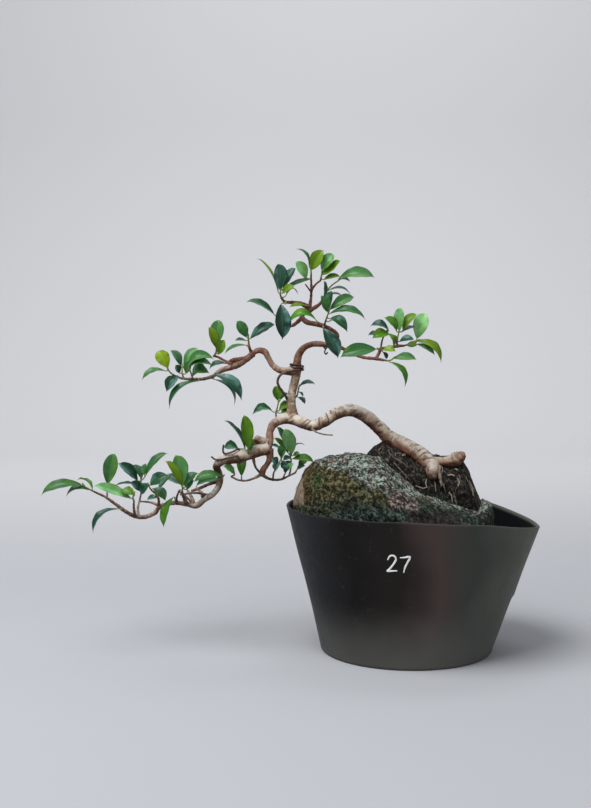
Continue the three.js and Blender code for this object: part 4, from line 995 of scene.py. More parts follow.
limbs = {
    "trunk": [(27.5, 177.5, -10, 3.6), (26.5, 183.5, -9, 6.2), (25, 191, -6, 8.2),
        (16, 200.5, -3, 8.8), (0, 211, 0, 7.8), (-19, 221, 3, 7.6), (-32, 233.5, 3, 6.8),
        (-46, 244.5, 1, 6.6), (-60, 249, 0, 6.4), (-74, 245.5, -2, 6.4), (-87, 237.5, -4, 6.1),
        (-98, 233, -4, 5.9), (-108, 236, -3, 5.6), (-119, 240, 0, 5.6), (-130, 239.5, 0, 4.8),
        (-138.5, 235, -1, 4.4), (-142.3, 227, -3, 3.8), (-143, 218, -4, 4.5), (-146.5, 210, -5, 5.8)],
    "stubRoot": [(24, 193, -3, 6), (36, 195.5, -3, 4.2), (44, 196, -3.5, 5.5), (50, 198, -4, 7.3),
        (55, 201, -4, 6.4), (58, 204, -4, 4)],
    "sideRoot": [(31, 189, -7, 3), (33.5, 181.5, -10.5, 1.5), (36, 170, -12.5, 1)],
    "backRoot": [(18, 199, 1, 6), (20, 194, 12, 4.4), (24, 184, 22, 2.6)],
    "rootlet": [(-99, 229.5, -6, 1), (-93.5, 226, -7.5, 0.8), (-86, 223.9, -8.5, 0.7),
        (-77.5, 223.2, -9, 0.6)],
    "low": [(-145, 210, -5, 5.6), (-155, 206.8, -6, 5.9), (-165, 203, -7, 5.6), (-175, 200.8, -8, 6.2),
        (-185, 198.8, -8, 5.9), (-193, 196.2, -7, 4.9), (-198, 190.5, -4, 4), (-196, 185.3, 0, 3.4),
        (-193.8, 178, 2, 3.1), (-196, 169.5, 2, 3.3), (-202, 161.5, 0, 3.2), (-211, 155.5, -2, 3),
        (-219, 149.5, -3, 3.1), (-229, 151, -2, 2.4), (-240, 152.5, 0, 2.2), (-250, 151, 3, 2.2),
        (-257.5, 148, 5, 2.4), (-262.5, 142, 6, 2.4), (-272, 137.8, 5, 2.3), (-283, 138.5, 2, 2.2),
        (-293, 143.5, 0, 1.9), (-303, 151, -1, 1.6), (-314, 158.8, -3, 1.3), (-323, 163, -5, 1)],
    "cutStub": [(-147, 214, -5, 4.4), (-157.5, 219.8, -6, 3.8)],
    "drop": [(-144, 208, -5, 4), (-142.5, 200, -5, 3.2), (-145.5, 193, -5, 2.8),
        (-149.5, 187, -4, 3.2), (-150.5, 182, -3, 2.6)],
    "dropRight": [(-151, 182.5, -3, 1.8), (-146, 178.8, -2, 1.5), (-139, 176.7, 0, 1.4),
        (-130, 177.3, 3, 1.2), (-123, 180.7, 5, 1), (-116, 184, 6, 0.9)],
    "dropLeft": [(-151, 182.5, -3, 1.6), (-160, 177.8, -6, 1.2), (-168, 175.6, -8, 1.1),
        (-176, 176.6, -9, 1), (-183, 180, -8, 0.9)],
    "brace": [(-160, 200, -7, 1.4), (-157.5, 190, -6, 1.1), (-152, 183, -4, 1.2)],
    "leader": [(-118, 238, 0, 5.4), (-120, 251, 1, 4.8), (-120.3, 262, 2, 4.3), (-118.5, 272, 3, 4.3),
        (-116, 282, 3, 4.5), (-115, 290, 3, 5), (-114.5, 298, 3, 4.3), (-112.3, 307, 3, 3.6),
        (-107, 313.8, 2, 3.2), (-99, 317.3, 1, 3.1), (-90, 317.6, -1, 3), (-81, 316, -3, 2.4)],
    "right": [(-84, 316.7, -3, 2.2), (-70, 314, -4, 1.8), (-58, 308, -6, 1.6), (-46, 303.7, -8, 1.5),
        (-33, 302.3, -9, 1.6), (-25, 301, -9, 1.2)],
    "rightUp": [(-33, 302.5, -9, 1.4), (-30, 308, -8, 1.6), (-28, 312, -7, 2.2), (-20, 313.4, -6, 1.4),
        (-11.5, 315.3, -5, 1.7), (-4, 315.8, -5, 1.1)],
    "apex": [(-83, 316.5, -3, 2.3), (-75.5, 320, 1, 2), (-73, 327, 3, 2), (-78.5, 332, 3, 2.1),
        (-87, 336, 2, 2.5), (-96, 338.3, 1, 2.7), (-104, 340, 1, 2.8), (-109.3, 345, 2, 2.4),
        (-107, 350.5, 3, 2.4), (-102, 354.5, 3, 2.6)],
    "apexLeft": [(-103, 355.5, 3, 2.3), (-110, 358.8, 2, 2.2), (-118, 360, 1, 1.9),
        (-127, 361, 0, 1.5), (-130.5, 365, -1, 1.1)],
    "apexUnder": [(-109.3, 344.5, 2, 1.8), (-113, 341, 4, 2), (-119, 336.5, 6, 1.6), (-126, 335, 8, 1)],
    "apexRight": [(-101.5, 352, 3, 2.1), (-93, 357, 2, 1.9), (-88, 362, 1, 1.3)],
    "apexStem": [(-101.5, 355, 3, 1.7), (-100, 366, 3, 1.3), (-99.7, 376, 2, 1.2), (-100, 386, 1, 0.9)],
    "apexFork": [(-99.6, 373, 2, 1.1), (-95, 379, 0, 1), (-90, 383, -1, 0.9)],
    "apexSpur": [(-100, 371, 3, 0.8), (-106, 379, 4, 0.6)],
    "mid": [(-115, 290.5, 3, 4.4), (-122, 289.5, 2, 4), (-131, 290.3, 3, 3.4), (-139.5, 295.5, 6, 3.1),
        (-144, 303, 9, 3), (-147.7, 309.3, 11, 3), (-153.5, 311, 11, 2.9), (-159.5, 308.3, 10, 2.7),
        (-166, 302, 8, 3.2), (-174.5, 296.5, 6, 3.6), (-184, 293.3, 4, 3.1), (-193, 290.2, 2, 2.6),
        (-201, 284.5, 1, 2), (-211, 281.5, 0, 1.7), (-222, 281.3, -1, 1.5), (-232, 282, -2, 1.3),
        (-239, 283.7, -3, 1)],
    "midBurl": [(-160, 307.5, 10, 2.4), (-166, 302.5, 8.5, 3.2), (-173, 300.8, 7.5, 3.6),
        (-180, 300, 7, 3.3), (-185, 298.5, 6, 1.8)],
    "midTwig": [(-182, 296.5, 4, 1.7), (-190, 300.8, 6, 1.3), (-197, 304.5, 8, 1.2),
        (-201, 305, 9, 0.9)],
    "midSpur": [(-161, 308, 10, 1.7), (-163.5, 314, 9, 1.2), (-164.3, 320, 9, 0.9)],
    "farFront": [(-283, 138.5, 1, 1.5), (-284.3, 148, -5, 1.2), (-284, 154.5, -9, 0.9)],
    "farBack": [(-279.5, 138.5, 3, 1.5), (-280, 147, 8, 1.2), (-278.5, 154, 12, 1)],
    "farLink": [(-257.5, 149.5, 5, 1.5), (-267, 153, 9, 1.1), (-278.5, 154, 12, 0.9)],
    "farRiser": [(-258, 149, 5, 1.5), (-258.7, 157, 1, 1.2), (-262, 163, -3, 0.9)],
    "hubFront": [(-229, 151, -2, 2.1), (-232, 158, -6, 1.7), (-234, 164, -9, 1.2)],
    "hubBack": [(-222, 150, -3, 2.1), (-224, 158, 4, 1.7), (-228, 165, 10, 1.2)],
    "hubRight": [(-211, 156, -2, 2.1), (-214, 163, 2, 1.7), (-219, 168, 5, 1.2)],
    "hubLow": [(-240, 152.5, 0, 1.1), (-239, 160, -4, 1), (-236, 166, -7, 0.8)],
    "hubCross": [(-222, 151, -3, 1.3), (-231, 160, 0, 1.1), (-238, 165, 2, 0.8)],
    "hubTie": [(-206, 160, 0, 1.5), (-220, 163, -3, 1.2), (-236, 161, -4, 0.9)],
    "hubTop": [(-194, 176, 2, 2.2), (-205, 172.5, 6, 1.8), (-214, 168.5, 8, 1.6), (-224, 165, 10, 1.3)],
}

shoots = {
    "far_tip": (
        [(-322, 162.6, -5), (-328, 165.5, -6), (-335, 169.5, -6)],
        [(-338, 171.5, -380.5, 162.5, 13, 42, 6, -8, 0.37),
            (-327, 167, -342, 177.5, 10.5, 80, 3.5, 7, 0.62),
            (-331, 166, -354.5, 160, 11.5, 62, 4.5, -2, 0.24)]),
    "far_upright": (
        [(-312, 157.5, -3), (-311.7, 164, 0), (-311.3, 171, 2)],
        [(-311.3, 172, -304, 205.5, 15.5, 10, 2, 6, 0.4)]),
    "far_under": (
        [(-296, 145, -1), (-299, 146.2, -6)],
        [(-300, 146.2, -327.5, 122, 11, 62, 8, -8, 0.06)]),
    "far_front": (
        [(-284, 154, -9), (-285, 158, -13), (-284, 161, -15)],
        [(-287, 157, -325.5, 171, 12, 35, 2.5, -12, 0.52), (-283, 160, -297, 165.5, 10.5, 40, 2, 2, 0.76)]),
    "far_crown": (
        [(-278.5, 153.5, 12), (-277, 160, 14), (-276, 168, 15), (-276.5, 176, 15)],
        [(-280, 175, -300, 194.5, 12.5, 35, 3, -6, 0.1), (-276, 177, -286, 192.5, 11.5, 45, 2.5, 7, 0.2),
            (-279, 171, -305, 170, 9, 75, 2.5, 9, 0.1), (-272.5, 181, -272, 194, 9, 40, 1.5, 8, 0.38),
            (-271.5, 181, -249, 205.5, 10.5, 45, 4, 2, 0.36),
            (-277, 165, -287.5, 174.5, 10.5, 30, 2, -5, 0.14),
            (-276.8, 162, -267.5, 172, 11.5, 32, 2, -6, 0.15)]),
    "far_riser": (
        [(-261.7, 162.4, -3), (-266, 166, -6), (-268.5, 170, -8)],
        [(-267, 171, -248.5, 182, 13, 30, 3, -5, 0.16), (-264, 167.5, -251, 155.5, 11.5, 32, 3, -7, 0.3),
            (-259.5, 158, -270.5, 156, 7.5, 45, 1.5, 4, 0.12),
            (-258, 166.5, -244, 183, 10.5, 45, 2, 8, 0.2)]),
    "far_low": (
        [(-240.5, 153.5, 0), (-241.5, 158, -6)],
        [(-243, 158.5, -253.5, 128, 10.5, 38, 5, -5, 0.68)]),
    "far_bright": (
        [(-234, 163.3, -9), (-233.5, 169, -11)],
        [(-234.5, 170.5, -251, 197.5, 11, 35, 3, -8, 0.88), (-233.5, 171, -239.5, 204, 16.5, 8, 2, 3, 0.48),
            (-231, 168.5, -216.5, 184, 11.5, 40, 4, 6, 0.25),
            (-229, 166.5, -221.5, 177, 7, 40, 1, -6, 0.2)]),
    "far_hidden": (
        [(-228, 164.3, 10), (-229.5, 169, 13)],
        [(-231, 170.5, -251, 181, 12, 32, 2, 6, 0.1), (-227.5, 170.5, -221, 181, 9, 45, 2, 10, 0.12)]),
    "far_long": (
        [(-193.5, 177.5, 0), (-191, 180, -4)],
        [(-191.5, 181, -221.5, 175, 12, 42, 4, -3, 0.42), (-195, 177.5, -220, 169.5, 11, 50, 3, 16, 0.25)]),
    "low_lime": (
        [(-165, 204.5, -9), (-165.3, 207.5, -10.5)],
        [(-165, 209, -169.5, 245.5, 13.5, 12, 2, -3, 0.8), (-168, 208, -190, 240, 11.5, 72, 3.5, 5, 0.12),
            (-163, 206.5, -161.5, 220, 9, 30, 1, 6, 0.3)]),
    "low_side": (
        [(-155, 208, -4.8), (-156.5, 211.5, -2.5)],
        [(-157, 210, -161, 219.5, 9.5, 35, 1, 3, 0.85)]),
    "low_left": (
        [(-168.5, 204.5, -5), (-170, 209, -1.5)],
        [(-175.5, 209.5, -190, 211, 11, 35, 3, 2, 0.2)]),
    "low_down": (
        [(-172, 176.2, -8), (-172, 179, -3)],
        [(-172, 180.5, -170, 204, 10.5, 15, 1, 10, 0.7)]),
    "low_strip": (
        [(-182.7, 180, -8), (-180, 181.5, -8)],
        [(-178.8, 181.4, -191, 191.5, 9.5, 50, 1.5, -4, 0.5)]),
    "inner_shoot": (
        [(-135, 239, 0.5), (-136.3, 245.5, 2.5), (-134.8, 252, 3), (-133.7, 257, 3)],
        [(-134, 259, -136.5, 275, 12, 20, 1, 1, 0.75), (-139.5, 247.5, -160.5, 245.5, 10.5, 45, 7, -5, 0.2),
            (-133, 248.5, -119, 256.5, 10.5, 40, 2, 8, 0.85), (-131, 246, -121, 250, 8, 35, 1.5, 4, 0.85),
            (-131.5, 260, -124.5, 267.5, 7, 45, 1, 8, 0.2)]),
    "leader_back": (
        [(-118, 261, 3.4), (-114.5, 264.5, 5.5), (-113, 270.5, 6)],
        [(-113.2, 272.5, -95.5, 276.5, 9, 65, 3.5, 1, 0.15), (-113.5, 262.5, -106, 256, 7, 50, 1.5, 1, 0.1),
            (-112, 268, -108, 263.5, 4.5, 60, 0.5, 3, 0.1)]),
    "cluster_tall": (
        [(-122.7, 181, 5), (-121, 188, 8), (-120.6, 196, 9), (-121.5, 202, 9)],
        [(-119.5, 204, -127.5, 231, 15, 12, 3, -4, 0.57), (-124, 206, -135.5, 233, 10.5, 45, 2, 6, 0.2),
            (-123.5, 204.5, -138.5, 221, 8, 40, 2, -6, 0.7),
            (-118.5, 208, -106.5, 213, 5.5, 75, 4, 4, 0.14),
            (-118.5, 202, -111.5, 204.5, 5.5, 30, 1, -3, 0.6),
            (-120.8, 200, -128.5, 197, 8, 40, 1.5, -4, 0.1),
            (-120.5, 196, -125.5, 190, 8, 40, 1.5, 4, 0.12),
            (-119, 198.5, -97, 195.5, 10.5, 40, 3, -8, 0.68)]),
    "cluster_edge": (
        [(-116.2, 184, 6), (-114, 188, 9)],
        [(-112.5, 189, -104, 198, 8.5, 35, 2, 6, 0.68), (-114.5, 187.5, -106, 191.5, 7, 40, 1.5, -3, 0.3)]),
    "cluster_left": (
        [(-139.5, 177.5, 0), (-138.5, 184, -4), (-135, 191, -6), (-131, 198, -6)],
        [(-131, 200, -133.5, 213, 9, 35, 1.5, -2, 0.3), (-132.5, 209, -143, 211.5, 7.5, 65, 2, 3, 0.12),
            (-134.5, 193, -141, 199, 9, 30, 1.5, -3, 0.12),
            (-133.2, 194.5, -136.5, 186, 9, 35, 2, -5, 0.15),
            (-130.2, 191.8, -125.5, 184.5, 9, 40, 2, 2, 0.1), (-130.5, 197, -128, 188.5, 9, 30, 1, 2, 0.12),
            (-131, 199, -126.5, 209.5, 8, 35, 1.5, 2, 0.4)]),
    "cluster_low": (
        [(-129, 178, 3), (-127, 183, 0)],
        [(-126, 185, -118, 194, 7.5, 45, 1.5, -3, 0.6)]),
    "mid_tip": (
        [(-238.5, 283.6, -3), (-244.5, 287.5, -5), (-247.5, 291, -6)],
        [(-247.5, 293, -258.5, 311, 14.5, 10, 2.5, 3, 0.95),
            (-249.5, 289.5, -274.5, 281.5, 9, 58, 5.5, -6, 0.4),
            (-236.5, 284.8, -249, 269, 12.5, 30, 4, -8, 0.08)]),
    "mid_under": (
        [(-215.5, 281.8, -1), (-216.5, 279.6, -5)],
        [(-217.5, 279.4, -247, 252.5, 12, 60, 7.5, -7, 0.2)]),
    "mid_left": (
        [(-231.5, 282.3, -2), (-233, 288, 3), (-232.7, 293, 5)],
        [(-234, 294.5, -245, 311.5, 10.5, 35, 2.5, 5, 0.2),
            (-231, 294.5, -216.5, 314, 10.5, 35, 3.5, 8, 0.5),
            (-236, 287.5, -239.5, 296.5, 7.5, 30, 1, -3, 0.12),
            (-229, 287, -224, 301, 9, 30, 1.5, -7, 0.47)]),
    "mid_arch": (
        [(-222, 281.7, -1), (-224, 288, -8), (-225, 291, -10)],
        [(-228, 293, -200, 303, 12, 45, 10, 2, 0.44), (-226, 291, -202, 296.5, 11, 48, 8, -6, 0.3),
            (-221, 287.5, -205, 288.5, 11.5, 38, 6, -13, 0.42),
            (-222, 284.5, -210, 297, 9.5, 30, 3, 4, 0.3)]),
    "mid_droop": (
        [(-201.5, 284.8, 0), (-200.5, 286, -5)],
        [(-200, 285.5, -171.5, 261, 15, 42, 8, -6, 0.12)]),
    "mid_droop_back": (
        [(-202.5, 283.5, 2), (-200.5, 281.5, 6)],
        [(-199.5, 281, -178.5, 255.5, 9.5, 60, 7, 5, 0.1)]),
    "mid_dark": (
        [(-188, 299, 6), (-187.5, 297.5, 10)],
        [(-188.5, 297.5, -205, 292, 9.5, 55, 3, 4, 0.15)]),
    "mid_bright": (
        [(-200.2, 305, 9), (-198, 309, 6), (-197.3, 314, 5)],
        [(-198, 314, -205.5, 336, 11.5, 30, 2, -6, 0.92), (-197, 317, -195, 343.5, 14.5, 8, 2, 4, 0.45),
            (-195, 307, -189.5, 322.5, 11, 20, 1.5, -4, 0.85)]),
    "mid_spur": (
        [(-164.2, 319.2, 9), (-164.5, 323, 9)],
        [(-166, 324.5, -176, 342, 11.5, 12, 2, -2, 0.42),
            (-162.5, 323, -137, 338.5, 12.5, 35, 3.5, 3, 0.08),
            (-167, 321, -178, 321.5, 6.5, 60, 1, -3, 0.1)]),
    "mid_spur_low": (
        [(-163.5, 314, 8.5), (-166, 316, 3)],
        [(-167, 316.5, -189, 308, 8, 62, 3, -4, 0.35)]),
    "apex_fan": (
        [(-130.2, 364.5, -1), (-131.8, 369, -2), (-131, 373, -2)],
        [(-133.5, 370, -155.5, 407, 9, 75, 4, 3, 0.9), (-132, 373, -133, 401, 14.5, 10, 2, 2, 0.14),
            (-128.5, 373.5, -116, 396.5, 10.5, 35, 2, 8, 0.12),
            (-126.5, 375, -99, 385, 10.5, 62, 0, 10, 0.3), (-129.5, 369.5, -117, 377, 9.5, 38, 2, -6, 0.85),
            (-126, 367, -113.5, 369, 7, 70, 7, 6, 0.25)]),
    "apex_droop": (
        [(-126, 361, -1), (-126, 359, -5)],
        [(-131, 358.5, -129, 323.5, 17, 12, 4, -5, 0.04)]),
    "apex_teal": (
        [(-125.5, 336, 8), (-131, 341, 8), (-135, 345.5, 7)],
        [(-138, 348, -166.5, 362, 11, 50, 4, -3, 0.2)]),
    "apex_arch": (
        [(-92, 338, 1), (-92.3, 339.8, -3)],
        [(-94, 341, -124.5, 339, 10.5, 45, 13, -3, 0.66)]),
    "apex_olive": (
        [(-104, 356.5, 2), (-105.5, 357, -3)],
        [(-107, 357.5, -122, 356, 6.5, 50, 1.5, -2, 0.85)]),
    "apex_crown": (
        [(-100, 385.3, 1), (-100, 391, 0), (-100.5, 395, 0)],
        [(-102, 397, -115.5, 415.5, 8.5, 72, 5, 4, 0.3),
            (-99.5, 393.5, -87.5, 414.5, 14, 15, 2.5, -4, 0.88),
            (-105, 384.5, -115.5, 403, 11.5, 25, 2, -3, 0.54)]),
    "apex_crown_right": (
        [(-90.3, 382.7, -1), (-89.5, 387, -2), (-89, 391, -2)],
        [(-89, 392.5, -77.5, 411, 12.5, 22, 2, 3, 0.5), (-90, 388, -70, 404, 11.5, 42, -2.5, -5, 0.82),
            (-87, 383.5, -70, 387, 9, 50, 2, -2, 0.75)]),
    "apex_sail": (
        [(-88.2, 361.7, 1), (-85, 370, 5), (-79, 377.5, 6), (-72, 382.5, 5)],
        [(-71, 385.5, -35, 387, 13.5, 35, 7, -6, 0.46), (-70, 384, -60, 381.5, 5.5, 60, 2, 3, 0.1),
            (-82, 372.5, -59, 368, 7, 65, 5.5, 4, 0.25), (-83, 367, -67, 366, 5.5, 70, 3, 6, 0.4),
            (-86.5, 364.5, -86.5, 383, 8.5, 60, 1, -4, 0.3)]),
    "apex_hub": (
        [(-86, 337.5, 1), (-84.5, 343, -4), (-82, 350, -6)],
        [(-81.5, 352.5, -79, 373, 10.5, 40, 1, 2, 0.15), (-83, 350.5, -89.5, 368, 11.5, 28, 1.5, -5, 0.42),
            (-80.5, 353, -55.5, 366.5, 12, 30, 3, 4, 0.42), (-81, 348.5, -44, 344, 11, 46, 8.5, -3, 0.35),
            (-81, 343.5, -62.5, 331, 11.5, 32, 7.5, -9, 0.2),
            (-82, 340.5, -65, 341.5, 7.5, 70, 2.5, 2, 0.6)]),
    "apex_dark": (
        [(-86.5, 335.6, 1), (-87.5, 335.5, -4), (-87.5, 334.5, -7.5)],
        [(-87.5, 333.5, -71.5, 304.5, 15, 20, 3, -7, 0.04)]),
    "right_big": (
        [(-29, 312, -8), (-31, 312.5, -13)],
        [(-33, 312.3, -69.5, 305.5, 15, 22, 4, -5, 0.4), (-26, 311.5, -13, 310.5, 9, 42, 2, -4, 0.9),
            (-26, 309.5, -21.5, 302.5, 5.5, 40, 1, 4, 0.05)]),
    "right_olive": (
        [(-28, 313.5, -7), (-27, 320, -5), (-25, 326, -3), (-22.5, 330, -3)],
        [(-20, 331.5, -39, 336.5, 10.5, 50, 5, 3, 0.1), (-20, 328, -36.5, 324, 12, 32, 3, -8, 0.75),
            (-22, 328.5, -15.5, 314.5, 9, 48, 5.5, 1, 0.82), (-29, 326, -41.5, 326.5, 7, 45, 3, 4, 0.1)]),
    "right_crown": (
        [(-11.5, 316.3, -5), (-11, 323, -7), (-9.5, 330, -7)],
        [(-12, 330.5, -24.5, 345.5, 10.5, 45, 3.5, -4, 0.7), (-9, 331, -8.5, 356, 11, 15, 1.5, 2, 0.53),
            (-5.5, 331.5, 9, 349, 11, 38, 3, 6, 0.85), (-6.5, 330, 7.5, 335.5, 7, 55, 1.5, 7, 0.12),
            (-9, 320, 6, 322.5, 8.5, 40, 3, -6, 0.12)]),
    "right_tip": (
        [(-4.5, 315.8, -5), (2, 317.5, -4), (8, 319.5, -3)],
        [(9, 323, 17.5, 350.5, 15.5, 6, 2, 3, 0.57), (5, 320.5, 34.5, 299.5, 11, 48, 10, 1, 0.88),
            (-2, 316.5, 9, 316, 8, 40, 1, -5, 0.88), (8, 317.5, 27.5, 307, 7.5, 48, 2.5, -9, 0.48)]),
    "right_low": (
        [(-25.3, 301, -9), (-20, 300.3, -11), (-16.5, 301.5, -12)],
        [(-14.5, 302.8, 8.5, 302, 10.5, 35, 2.5, -4, 0.45), (-19, 299, -2.5, 274.5, 9.5, 50, 7, -5, 0.7)]),
}


# Wood

bark = {
    "ring": 0.7,  # mm between rings along a limb
    "facet": 0.75,  # mm between sides of a ring
    "sides": (12, 60),  # least and most sides
    "stout": 8,  # radius that the colour takes as full girth
    "lump": 0.06,  # swellings, as a share of the radius
    "lumpCell": 9,
    "streak": 0.042,  # ridges along the limb
    "streakCell": 2.6,
    "streakSlow": 0.16,  # how slowly they change along it
    "wrinkle": 0.03,  # fine rings round the limb
    "wrinkleCell": 1.9,
    "wrinkleSlow": 0.2,  # how slowly they change round it
    "collar": 0.45,  # how much a branch swells where it leaves its parent
    "collarReach": 1.3,  # how far along it that fades, as a share of its radius
    "collarMore": 0.6,  # and so many mm more
    "scarDepth": 0.06,  # as a share of the radius
    "scarWidth": 0.9,  # half the width of a dent
    "scarStrands": 3,  # dents that run side by side, which slants them
    "scarWander": 0.3,  # how unevenly they run, in turns
    "scarWanderCell": 8,
    "scarPatchCell": 7,  # noise that breaks them
    "scarEnds": 0.06,  # share of a dented stretch over which they come in
    "nodeSwell": 0.2,  # rings on thin twigs where leaves have been
    "nodeEvery": (4.5, 8.5),  # least and most mm from one to the next
    "nodeWidth": 0.8,
    "twig": 1.6,  # radius up to which a twig has them in full
}

# dents left by training wire: limb, axis (0 for x, 2 for z), where on it they start and end, how many
wireScars = [
    ("trunk", 0, 26, 4, 4), ("trunk", 0, -16, -36, 4), ("trunk", 0, -47, -61, 1.6),
    ("trunk", 0, -72, -86, 3.4), ("trunk", 0, -88, -108, 5.4), ("low", 0, -200, -262, 7),
    ("mid", 0, -176, -208, 4), ("leader", 2, 246, 270, 4)]
ruddy = {"midBurl": 1.3, "drop": 1, "cutStub": 0.5, "stubRoot": 0.5}  # reddish limbs, and how red
gnarled = {"midBurl": 2.6, "drop": 2, "mid": 2.2}  # limbs whose ridges stand out more, and how many times
bands = {  # x or z at which the bark's colour starts to change, and over how far, less than 0 for downwards
    "footRedAndShade": (-52, 60),
    "endRed": (-128, -12),
    "highRed": (280, 18),
    "soiled": (189, -10),
}


def bandOf(name, values):
    # 0 before a band starts, 1 behind it
    start, over = bands[name]
    return eased((values - start) / over)


def limbSkin(name, rows, seed):
    # circles along a limb, swelled by noise that is slow along it and quick round it, by a collar at its foot
    # and by rings on thin wood, less broken dents that wind round it. Values for the colour go with it: how
    # far the bark faces up, for painted highlight and shade, how thick the limb is, where it is sunk, for
    # painted shade in its creases, dented, reddish or dark with soil
    flat, radii = limbPath(rows, bark["ring"], 2)
    tangents = alongside(flat)[0]
    length = pathLength(flat)
    sides = int(np.clip(np.round(2 * np.pi * radii.max() / bark["facet"]), *bark["sides"]))
    turn = turnsRound(sides)
    spokes = spokesAlong(flat, sides)
    wide = radii[:, None]
    around = stacked(wide * np.cos(turn), wide * np.sin(turn), length[:, None])
    skin = flat[:, None] + spokes * wide[..., None]
    slow = bark["wrinkleSlow"]
    lumps = roughness(skin, bark["lumpCell"], 3, seed)
    streaks = roughness(around * (1, 1, bark["streakSlow"]), bark["streakCell"], 3, seed + 5)
    wrinkles = roughness(around * (slow, slow, 1), bark["wrinkleCell"], 2, seed + 9)
    ridges = bark["streak"] * streaks + bark["wrinkle"] * wrinkles
    swell = 1 + bark["lump"] * lumps + gnarled.get(name, 1) * ridges
    if name != "trunk":
        reach = bark["collarReach"] * radii[0] + bark["collarMore"]
        swell = swell + bark["collar"] * np.exp(-length / reach)[:, None]
    chance = np.random.default_rng(seed)
    nodes = np.cumsum(chance.uniform(*bark["nodeEvery"], 80))
    ringAt = hill(length[:, None], nodes, bark["nodeWidth"]).sum(axis=1)
    thin = eased((2 * bark["twig"] - radii) / bark["twig"])
    swell = swell + (bark["nodeSwell"] * thin * ringAt)[:, None]
    scar = np.zeros_like(swell)
    wander = bark["scarWander"] * roughness(skin, bark["scarWanderCell"], 2, seed + 3)
    strands = bark["scarStrands"] * turn / (2 * np.pi) + wander
    patchy = eased(0.85 + 1.2 * roughness(skin, bark["scarPatchCell"], 2, seed + 4))
    for limb, axis, start, end, turns in wireScars:
        if limb == name:
            run = (flat[:, axis] - start) / (end - start)
            inside = eased(run / bark["scarEnds"]) * eased((1 - run) / bark["scarEnds"])
            away = np.abs((turns * run[:, None] + strands + 0.5) % 1 - 0.5) * 2 * np.pi
            width = bark["scarWidth"] * 2 * np.pi * turns / abs(end - start)
            scar = np.maximum(scar, inside[:, None] * patchy * hill(away, 0, width))
    swell = swell - bark["scarDepth"] * scar
    rings = flat[:, None] + spokes * (wide * swell)[..., None]
    first = flat[0] - tangents[0] * radii[0] * 0.5
    last = flat[-1] + tangents[-1] * radii[-1] * 0.5
    # the foot's red-brown is its own colour, but it is strongest underneath and gone where the bark faces up,
    # which adds painted shade below
    footRedAndShade = bandOf("footRedAndShade", flat[:, :1]) * np.clip(0.7 - 0.7 * spokes[..., 2], 0, 1)
    endRed = 0.9 * bandOf("endRed", flat[:, :1])
    red = ruddy.get(name, (footRedAndShade + endRed) * (name == "trunk"))
    red = np.maximum(red, bandOf("highRed", flat[:, 2:]))
    # painted shade: hollow is larger where the bark is sunk, and the colour darkens its creases
    sunk = 0.5 * lumps + gnarled.get(name, 1) ** 0.7 * (0.5 * streaks + 0.8 * wrinkles)
    hollow = np.clip(0.4 + 0.12 * red - sunk, 0, 1)
    stain = bandOf("soiled", flat[:, 2:]) * (name == "trunk")
    # lift is how far the bark faces up; the colour makes it a painted highlight above and painted shade below
    return closedSkin(rings, first, last, girth=wide / bark["stout"], lift=spokes[..., 2], hollow=hollow,
        scar=scar, red=red, stain=stain)


def barkMaterial():
    # smooth beige bark with a painted silvery highlight where it faces up, and red-brown underneath, its own
    # colour darkened by painted shade; brown on twigs, with reddish stretches, painted shade in its creases,
    # a foot stained by soil, dark dents, pale flakes and small pits
    material, point = newMaterial("figBark")
    patch = noiseOf(point, 9, 4, 2)
    grain = noiseOf(point, 2.2, 4, 5)
    lift = plusOf(attributeOf(material, "lift"), patch, 1.1)
    # painted light: top is a painted highlight where the bark faces up, and under is red-brown bark darkened
    # by painted shade
    top = rampOf(patch, (0.3, (158, 148, 134)), (0.5, (181, 173, 160)), (0.7, (190, 183, 172)))
    side = rampOf(patch, (0.3, (136, 110, 90)), (0.55, (164, 140, 118)), (0.75, (184, 166, 146)))
    under = rampOf(patch, (0.3, (56, 32, 22)), (0.55, (92, 58, 42)), (0.8, (124, 86, 64)))
    colour = blendOf(shareOf(lift, -0.1, 0.72), under, side)
    colour = blendOf(shareOf(lift, 0.5, 1.2), colour, top)
    twig = rampOf(patch, (0.35, (62, 43, 33)), (0.6, (106, 79, 64)), (0.8, (146, 122, 105)))
    colour = tinted(colour, shareOf(attributeOf(material, "girth"), 0.42, 0.24), 0.75, twig)
    colour = tinted(colour, attributeOf(material, "red"), 0.72, (114, 66, 48))
    # painted shade in creases and sunk bark
    colour = tinted(colour, shareOf(attributeOf(material, "hollow"), 0.58, 0.95), 0.5, (74, 48, 36))
    colour = tinted(colour, attributeOf(material, "stain"), 0.8, (34, 26, 22))
    colour = tinted(colour, shareOf(attributeOf(material, "scar"), 0.22, 0.85), 0.75, (52, 36, 28))
    colour = tinted(colour, shareOf(grain, 0.58, 0.72), 0.3, (206, 200, 190))
    colour = tinted(colour, shareOf(grain, 0.43, 0.32), 0.32, (74, 56, 44))
    rough = shareOf(patch, -2.2, 1.2)
    return finished(material, colour, rough, plusOf(grain, patch), 0.4, specular=0.25)


woodSkins = [limbSkin(name, rows, 100 + 13 * k) for k, (name, rows) in enumerate(limbs.items())]
makePiece("bark_of_trunk_and_branches", woodSkins, barkMaterial(), "bark", "trunk_and_branches")
print("wood grown")


# Training wire

